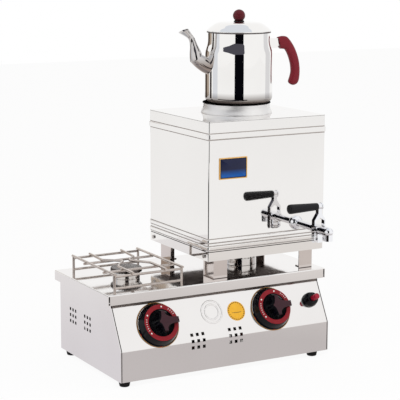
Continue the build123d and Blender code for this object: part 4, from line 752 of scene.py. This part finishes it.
# %% Tap rose, grip and bolt
TUBE_R, ROSE_EDGE, CAP_H, CAP_DOME, BOLT_R = 6.3, 1.6, 5.0, 3.6, 2.5
LEVER_AXES = ((0, 0, 1), (0, 1, 0), (-1, 0, 0))
rose_low, rose_high = spot("tap_flange")
rose_mid = (rose_low + rose_high) / 2
rose_r, rose_h = (rose_high[0] - rose_low[0]) / 2, rose_high[1] - rose_low[1]
rose_place = place((rose_mid[0], rose_high[1], rose_mid[2]), *FACING_FRONT)
angle = np.radians(np.linspace(0, 58, 20))
swell = np.sin(angle) / np.sin(angle[-1])
rose_dome = np.column_stack([rose_r * np.cos(angle), ROSE_EDGE + (rose_h - ROSE_EDGE) * swell])
rose = np.vstack([[(TUBE_R, 0), (rose_r, 0)], rose_dome, [(TUBE_R, rose_h)]])
skin("tap_rose", [rose_place(lathe(rose, 72))], "loop", "base", "tap_chrome", ["tap_flange"])

lever_low, lever_high = spot("tap_handle")
lever_mid = (lever_low + lever_high) / 2
grip_r, grip_l = (lever_high[2] - lever_low[2]) / 2, lever_high[0] - lever_low[0]
grip_place = place((lever_high[0], lever_mid[1], lever_mid[2]), *LEVER_AXES)
turned_grip = soften([
    (0, 0), (5.6, 0), (6.5, 1.2), (6.9, 16), (grip_r, grip_l - 5), (grip_r - 0.5, grip_l - 1.0),
    (grip_r - 3.5, grip_l), (0, grip_l),
], (0.8, 0.8, 6, 2.4, 1.4, 1.4), 8)
turned_grip = grip_place(lathe(turned_grip, 64))
skin("tap_lever_grip", [turned_grip], "poles", "tap_lever_set", "black_bakelite", ["tap_handle"])

bolt_low, bolt_high = spot("tap_handle_bolt")
cap_r, bolt_l = (bolt_high[2] - bolt_low[2]) / 2, bolt_high[0] - bolt_low[0]
bolt_place = place((bolt_high[0], lever_mid[1], lever_mid[2]), *LEVER_AXES)
angle = np.radians(np.linspace(0, 90, 14))
cap_dome = np.column_stack([cap_r * np.sin(angle), CAP_DOME * (1 - np.cos(angle))])
cap = np.vstack([cap_dome, [(cap_r, CAP_H), (BOLT_R, CAP_H), (BOLT_R, bolt_l), (0, bolt_l)]])
cap = bolt_place(lathe(cap, 48))
skin("tap_lever_bolt", [cap], "poles", "tap_lever_set", "tap_chrome", ["tap_handle_bolt"])

# %% [markdown]
# The dials, the igniter and the disc stand square to the sloping panel. They could be turned by hand
# until they fit, but their boxes tell where they are: a round piece that leans with the panel touches the
# back and the bottom of its box with its base circle.

# %% Places on the sloping panel
PANEL_TILT = np.radians(28.0)
PANEL_OUT = np.array((0, -np.cos(PANEL_TILT), np.sin(PANEL_TILT)))
PANEL_RISE = np.array((0, np.sin(PANEL_TILT), np.cos(PANEL_TILT)))


def panel_seat(node):
    """The middle of a round piece's base circle, from the back and the bottom of its box."""
    low, high = spot(node)
    middle, radius = (low[0] + high[0]) / 2, (high[0] - low[0]) / 2
    return np.array((middle, high[1] - radius * PANEL_RISE[1], low[2] + radius * PANEL_RISE[2]))


def on_panel(origin):
    """A place on the panel: across to the right, up the slope and out of it."""
    return place(origin, (1, 0, 0), PANEL_RISE, PANEL_OUT)


print("left dial at", panel_seat("left_bezel"))

# %% [markdown]
# A knob is a skirted black moulding with a red dial ring round a dish, and a four-pointed grip that
# stands out of the dish. Cutting it from a cylinder with booleans would leave ragged edges, so the round
# part is a lathe profile, and the grip is its outline, carried up and drawn in at the top. Both are drawn
# flat, with Z out of the panel.

# %% Knob shapes
KNOB_BASE, SKIRT_R, FACE_R, FACE_S, DISH_R, DISH_FLOOR, KNOB_WALL = 4.2, 37.0, 32.5, 16.5, 24.0, 11.5, 2.6
GRIP_TIP, GRIP_TIP_HALF, GRIP_ARM, GRIP_ARM_HALF, GRIP_HEEL, GRIP_TOP = 28.5, 5.0, 18.5, 3.5, 10.0, 30.0
bowl = [(0, DISH_FLOOR), (9, DISH_FLOOR + 0.1), (17, DISH_FLOOR + 1.0), (DISH_R - 1.2, FACE_S - 1.2)]
bowl = through(bowl, 20)
below = DISH_FLOOR - KNOB_WALL
skirt_shape = soften([
    *bowl, (DISH_R, FACE_S), (FACE_R, FACE_S), (SKIRT_R, KNOB_BASE), (SKIRT_R - KNOB_WALL, KNOB_BASE),
    (FACE_R - KNOB_WALL, below), (0, below),
], (*[0.5] * 19, 0.8, 1.6, 0.6, 0.6, 1.0), 6)
dish_shape = np.vstack([bowl + (0, 0.05), bowl[::-1] - (0, 0.3)])
dial_in, dial_out, dial_foot, dial_top = DISH_R + 0.3, FACE_R - 0.4, FACE_S - 0.2, FACE_S + 0.3
ring_shape = [(dial_in, dial_foot), (dial_in, dial_top), (dial_out, dial_top), (dial_out, dial_foot)]
ring_shape = soften(ring_shape, 0.25, 4)


def hollow_side(start, middle, end, count=14):
    """The quadratic curve from one point to another that passes a middle one at half way."""
    start, middle, end = np.array((start, middle, end), float)
    t = np.linspace(0, 1, count)[:, None]
    bend = 2 * middle - (start + end) / 2
    return (1 - t) ** 2 * start + 2 * t * (1 - t) * bend + t ** 2 * end


def slab(outline, steps):
    """Carries a flat outline through (scale, height) steps, scaled about its origin."""
    rings = [np.column_stack([outline * scale, np.full(len(outline), height)]) for scale, height in steps]
    return np.stack(rings)


to_arm = hollow_side((GRIP_TIP, GRIP_TIP_HALF), (8.5, 8.5), (GRIP_ARM_HALF, GRIP_ARM))
to_heel = hollow_side((-GRIP_ARM_HALF, GRIP_ARM), (-5.9, 6.8), (-GRIP_HEEL, GRIP_ARM_HALF / 2))
upper = np.vstack([to_arm, to_heel])
star = np.vstack([upper, upper[::-1] * (1, -1)])
grip_sides = slab(star, (
    (1.02, DISH_FLOOR - 0.5), (1.0, DISH_FLOOR + 6), (0.985, GRIP_TOP - 1.4), (0.965, GRIP_TOP - 0.5),
    (0.93, GRIP_TOP - 0.05)))
grip_face = slab(star, (
    (0.93, GRIP_TOP - 0.3), (0.925, GRIP_TOP), (0.5, GRIP_TOP + 0.05), (0.0, GRIP_TOP + 0.05)))
print("grip outline points:", len(star))

# %% [markdown]
# The dial ring carries a few pale marks, and the flat disc behind the knob a gold edge, a pale arc and
# two red marks. They are raised a little, as thick print is, so they are small meshes: beads for the dots
# and flat bars for lines.

# %% Knobs, dial rings and dial discs
DOT_ANGLES, DOT_R, DOT_AT = np.radians((147.0, 78.0, 215.0)), 1.5, 28.3
TICK_ANGLES = np.radians((*range(163, 204, 8), *range(27, 52, 8)))


def bead(x, y, height, radius):
    """A low dome at a place: a lathe of a quarter ellipse."""
    angle = np.radians(np.linspace(0, 90, 5))
    return lathe(np.column_stack([radius * np.cos(angle), height + 0.35 * np.sin(angle)]), 14) + (x, y, 0)


def arc_bar(radius, start, end, half, height, count=40):
    """A flat bar along an arc of the dial, from one angle to another in degrees."""
    angle, middle = np.radians(np.linspace(start, end, count)), np.radians((start + end) / 2)
    path = np.column_stack([radius * np.cos(angle), radius * np.sin(angle), np.full(count, height)])
    return bar(path, (half, 0.25), (np.cos(middle), np.sin(middle), 0), 8, 3.0)


def tick(angle, inner, outer, half, height):
    """A short bar that points away from the dial's middle."""
    direction = np.array((np.cos(angle), np.sin(angle), 0))
    path = direction * np.linspace(inner, outer, 3)[:, None] + (0, 0, height)
    return bar(path, (half, 0.2), (-direction[1], direction[0], 0), 8, 3.0)


dots = [bead(DOT_AT * np.cos(a), DOT_AT * np.sin(a), FACE_S + 0.3, DOT_R) for a in DOT_ANGLES]
ticks = [tick(a, 27.0, 29.6, 0.5, FACE_S + 0.4) for a in TICK_ANGLES]
disc = soften([(9, 0), (40, 0), (40, 0.8), (9, 0.8)], (0.3, 0.4), 5)
edge = soften([(39.1, 0.7), (39.1, 1.0), (39.8, 1.0), (39.8, 0.7)], 0.12, 3)
reds = [arc_bar(38.2, a - 3, a + 3, 0.7, 0.85, 8) for a in (200, 265)]
# name, grids, how they end, and finish: first what turns with the knob, then what stays on the panel
KNOB_PIECES = (
    ("_knob_skirt", [lathe(skirt_shape)], "poles", "black_plastic"),
    ("_knob_dish", [lathe(dish_shape)], "poles", "dish_plastic"),
    ("_dial_ring", [lathe(ring_shape)], "loop", "dial_red"),
    ("_knob_grip", [grip_sides], "caps", "black_plastic"),
    ("_grip_face", [grip_face], "caps", "grip_face"),
    ("_dial_marks", dots + ticks, "caps", "dial_white"),
)
DISC_PIECES = (
    ("_dial_disc", [lathe(disc, 128)], "loop", "dial_disc"),
    ("_dial_edge", [lathe(edge, 128)], "loop", "dial_gold"),
    ("_dial_arc", [arc_bar(37.4, 122, 186, 0.35, 0.85)], "caps", "dial_white"),
    ("_dial_reds", reds, "caps", "dial_red"),
)
for side in ("left", "right"):
    dial = on_panel(panel_seat(side + "_bezel"))
    solids = {"_knob_skirt": [side + "_knob"], "_dial_disc": [side + "_bezel"]}
    for pieces, body in ((KNOB_PIECES, side + "_knob_set"), (DISC_PIECES, "base")):
        for name, grids, ends, look in pieces:
            placed = [dial(grid) for grid in grids]
            skin(side + name, placed, ends, body, look, solids.get(name, ()), "black_plastic")

# %% [markdown]
# The igniter is a red push button in a black ring nut. The nut has a short straight foot and a cone with
# a rolled edge, and the button a rounded end. Two bevelled cylinders could do, but a lathe profile gives
# each edge its own rounding.

# %% Igniter
NUT_R, NUT_END_R, NUT_H, BUTTON_R, BUTTON_S, BUTTON_PLAY = 13.5, 10.5, 14.0, 5.3, 29.0, 0.12
igniter = on_panel(panel_seat("igniter_collar"))
bore = BUTTON_R + BUTTON_PLAY
nut = [(bore, 0), (NUT_R, 0), (NUT_R, NUT_H / 3), (NUT_END_R, NUT_H), (bore, NUT_H)]
nut = igniter(lathe(soften(nut, (0.5, 1.6, 1.4), 6), 64))
skin("igniter_nut", [nut], "loop", "base", "black_plastic", ["igniter_collar"])
button = soften([(0, 2), (BUTTON_R, 2), (BUTTON_R, BUTTON_S), (0, BUTTON_S)], (0.3, 3.6), 9)
button = igniter(lathe(button, 48))
skin("igniter_push_button", [button], "poles", "igniter_push", "red_button", ["igniter_button"])

# %% [markdown]
# Each burner is a buffed cup on the deck with a mixing tube and a bell below it, and a cap on top, of
# iron on the left and buffed on the right. The flame comes out of small ports round the cap's lower edge.
# They could be cut out one by one, but on a lathe grid it is enough that the radius steps in and out
# there as the angle goes round.

# %% Burners
CUP_WALL, TUBE_OUT, TUBE_IN, TUBE_L, BELL_R, BELL_H = 1.5, 11.0, 9.5, 64.0, 15.0, 12.0
PLUG_H, PORTS, PORT_H, PORT_SHARE, PORT_DEEP = 3.0, 28, 2.2, 0.25, 1.4
angle = full_turn(PORTS * 8)
slit = (np.mod(angle * PORTS / (2 * np.pi), 1) < PORT_SHARE) * PORT_DEEP
for side, lid_finish in (("left", "burner_cap_iron"), ("right", "burner_alloy")):
    low, high = spot(side + "_burner_body")
    cap_low, cap_high = spot(side + "_burner_cap")
    cup_r, cup_h = (high[0] - low[0]) / 2, cap_low[2] + PLUG_H - DECK_TOP
    cap_r, cap_h = (cap_high[0] - cap_low[0]) / 2, cap_high[2] - DECK_TOP
    burner = place((*((low + high) / 2)[:2], DECK_TOP), *UPRIGHT)
    bell_foot, cup_in = -TUBE_L - BELL_H, cup_r - CUP_WALL
    cup = soften([
        (TUBE_IN, CUP_WALL), (TUBE_IN, -TUBE_L), (BELL_R - CUP_WALL, bell_foot), (BELL_R, bell_foot),
        (TUBE_OUT, -TUBE_L), (TUBE_OUT, 0), (cup_r, 0), (cup_r, cup_h), (cup_in, cup_h), (cup_in, CUP_WALL),
    ], (3, 0.4, 0.4, 3, 0.3, 0.6, 0.4, 0.4), 6)
    cup = burner(lathe(cup, 96))
    skin(side + "_burner_cup", [cup], "loop", "base", "burner_alloy", [side + "_burner_body"])
    port_top = cup_h + PORT_H
    edge = [(0, cup_h), (cap_r - 6, cup_h), (cap_r, cup_h + 0.2), (cap_r, port_top),
            (cap_r, port_top + 0.1)]
    brow = soften([(cap_r, port_top + 0.2), (cap_r, cap_h), (0, cap_h)], 2.6, 8)
    profile = np.vstack([edge, brow])
    at_port = (profile[:, 1:] <= port_top) & (profile[:, :1] > cap_r - 1)
    radius = profile[:, :1] - at_port * slit
    cap = np.stack([radius * np.cos(angle), radius * np.sin(angle), profile[:, 1:] + 0 * angle], -1)
    skin(side + "_burner_lid", [burner(cap)], "poles", "base", lid_finish, [side + "_burner_cap"],
         "burner_cap_iron", 30)

# %% [markdown]
# On the boiler's front a gilt frame holds a plain blue plate, and on the control panel lie a plain amber
# disc with a dashed edge and a pressed ring. They could be pictures on the sheet, but thin raised pieces
# keep their edges sharp from near and catch the light as the real ones do.

# %% Plate, disc and pressed ring
PLATE_W, PLATE_T, FRAME_W, BORDER_W = 56.5, 38.0, 1.7, 1.6
DASH_AT, PRINT_UP = 15.4, 0.45
PRESSED_ACROSS, PRESSED_UP, PRESSED_RADII = 109.0, 9.5, (20.0, 13.5)
plate_low, plate_high = spot("nameplate")
plate_mid = (plate_low + plate_high) / 2
plate_place = place((plate_mid[0], plate_high[1], plate_mid[2]), *FACING_FRONT)


def plate_slab(inset, low, high):
    """A flat plate with round corners, set in from the frame, between two heights."""
    half = np.array((PLATE_W, PLATE_T)) / 2 - inset
    corners = np.array([(1, 0), (1, 1), (-1, 1), (-1, -1), (1, -1), (1, 0)]) * half
    outline = soften(corners, 1.2, 6)[:-1]
    return plate_place(slab(outline, ((1.0, low), (1.0, high - 0.1), (0.99, high), (0.0, high))))


skin("plate_frame", [plate_slab(0, 0.0, 1.3)], "caps", "base", "plate_print", ["nameplate"])
skin("plate_border", [plate_slab(FRAME_W, 1.2, 1.45)], "caps", "base", "plate_border", slot="plate_print")
face = plate_slab(FRAME_W + BORDER_W, 1.4, 1.6)
skin("plate_face", [face], "caps", "base", "plate_blue", slot="plate_print")

badge_place = on_panel(panel_seat("badge"))
dashes = [arc_bar(DASH_AT, start, start + 8, 1.0, PRINT_UP, 6) for start in range(0, 360, 15)]
line = [(-9, -2.5, PRINT_UP), (0, -3.0, PRINT_UP), (9, -2.5, PRINT_UP)]
dashes.append(bar(line, (0.5, 0.25), (0, 1, 0), 8, 3.0))
dashes = [badge_place(dash) for dash in dashes]
skin("badge_dashes", dashes, "caps", "base", "badge_line", slot="badge_print")

pressed_at = panel_seat("left_bezel") + PRESSED_ACROSS * np.array((1, 0, 0)) + PRESSED_UP * PANEL_RISE
pressed_place = on_panel(pressed_at)
angle = np.radians(np.linspace(0, 180, 9))
ridges = [np.column_stack([r + 1.5 * np.cos(angle), 0.7 * np.sin(angle) - 0.05]) for r in PRESSED_RADII]
pressed = [pressed_place(lathe(ridge, 96)) for ridge in ridges]
skin("pressed_ring", pressed, "loop", "base", "case_steel")

# %% [markdown]
# The last pieces are thin: the lines of shadow in the joints between the sheets and beside the ribs, the
# hem that the deck's rim is folded to below, and a dull sheet of painted shade under the boiler. Real gaps
# would be too narrow to show, so bands round an outline and bent flat bars in dull finishes draw them.

# %% Joints, hem and painted shade under the boiler
JACKET_SEAM, COVER_SHEET, SHEET_BEND, UNDERSIDE_SHADE_IN = 1.4, 1.0, 2.0, 3.0
# heights of the ribs' middles over the deck, and their widths
RIBS = ((58.5, 6.5), (71.0, 6.5), (255.0, 10.0))
RIB_PROUD, SHADE_H, SHADE_OUT = 1.6, 1.4, 0.04
FOLD_UP, SEAM_IN, CASE_SEAM = 54.0, 0.7, 1.6
HEM, RIM_SHEET, HEM_BACK = 7.0, 1.0, 100.0


def oblong(low, high, grow):
    """The outline of a rounded oblong that stands a little outside or inside of a box seen from above."""
    (x0, y0), (x1, y1) = low[:2] - grow, high[:2] + grow
    corners = [((x0 + x1) / 2, y0), (x1, y0), (x1, y1), (x0, y1), (x0, y0), ((x0 + x1) / 2, y0)]
    return soften(corners, SHEET_BEND, 6)[:-1]


skirt_low, skirt_high = spot("skirt_frame")
fold = cover_top - COVER_SHEET
seam = band(oblong(skirt_low, skirt_high, -0.5), 0.6, skirt_high[2], skirt_high[2] + JACKET_SEAM)
lip = band(oblong(skirt_low, skirt_high, 0.03), 0.4, fold - 0.25, fold + 0.2)
skin("jacket_joints", [at(seam), at(lip)], "loop", "base", "joint", slot="boiler_steel")

jacket = oblong(*spot("jacket"), SHADE_OUT - RIB_PROUD)
rib_edges = [DECK_TOP + height + way * (wide + SHADE_H) / 2 for height, wide in RIBS for way in (-1, 1)]
shades = [at(band(jacket, 0.3, z - SHADE_H / 2, z + SHADE_H / 2)) for z in rib_edges]
skin("rib_shades", shades, "loop", "base", "rib_shade", slot="boiler_steel")

# a dull sheet under the skirt stands for the shade under the boiler: painted shade
under = oblong(skirt_low, skirt_high, -UNDERSIDE_SHADE_IN)
soot = slab(under, ((1.0, skirt_low[2] - 0.3), (1.0, skirt_low[2] - 0.05)))
skin("tank_soot", [at(soot)], "caps", "base", "soot", slot="tank_steel")

front_low, front_high = spot("front_panel")
rise = np.array((front_low[2] + 0.5, front_low[2] + FOLD_UP, DECK_TOP - 2))
set_back = front_low[1] + np.array((SEAM_IN, SEAM_IN, SEAM_IN / np.cos(PANEL_TILT)))
set_back[2] += (rise[2] - rise[1]) * np.tan(PANEL_TILT)
lines = []
for edge in (front_low[0] - CASE_SEAM / 2, front_high[0] + CASE_SEAM / 2):
    path = soften(np.column_stack([np.full(3, edge), set_back, rise]), 6, 8)
    lines.append(at(bar(path, (CASE_SEAM / 2, 0.25), (1, 0, 0), 8, 4.0)))
skin("case_joints", lines, "caps", "base", "joint", slot="case_steel")

rim_low, rim_high = spot("deck")
hem_x, hem_y = rim_high[0] - RIM_SHEET - HEM / 2, rim_low[1] + RIM_SHEET + HEM / 2
hem_path = soften([(-hem_x, HEM_BACK), (-hem_x, hem_y), (hem_x, hem_y), (hem_x, HEM_BACK)], 0.6, 5)
hem_path = np.column_stack([hem_path, np.full(len(hem_path), rim_low[2] + RIM_SHEET / 2 + 0.02)])
hem = bar(hem_path, (RIM_SHEET / 2, HEM / 2), (0, 0, 1), 8, 6.0)
skin("deck_hem", [at(hem)], "caps", "base", "hem", slot="case_steel")
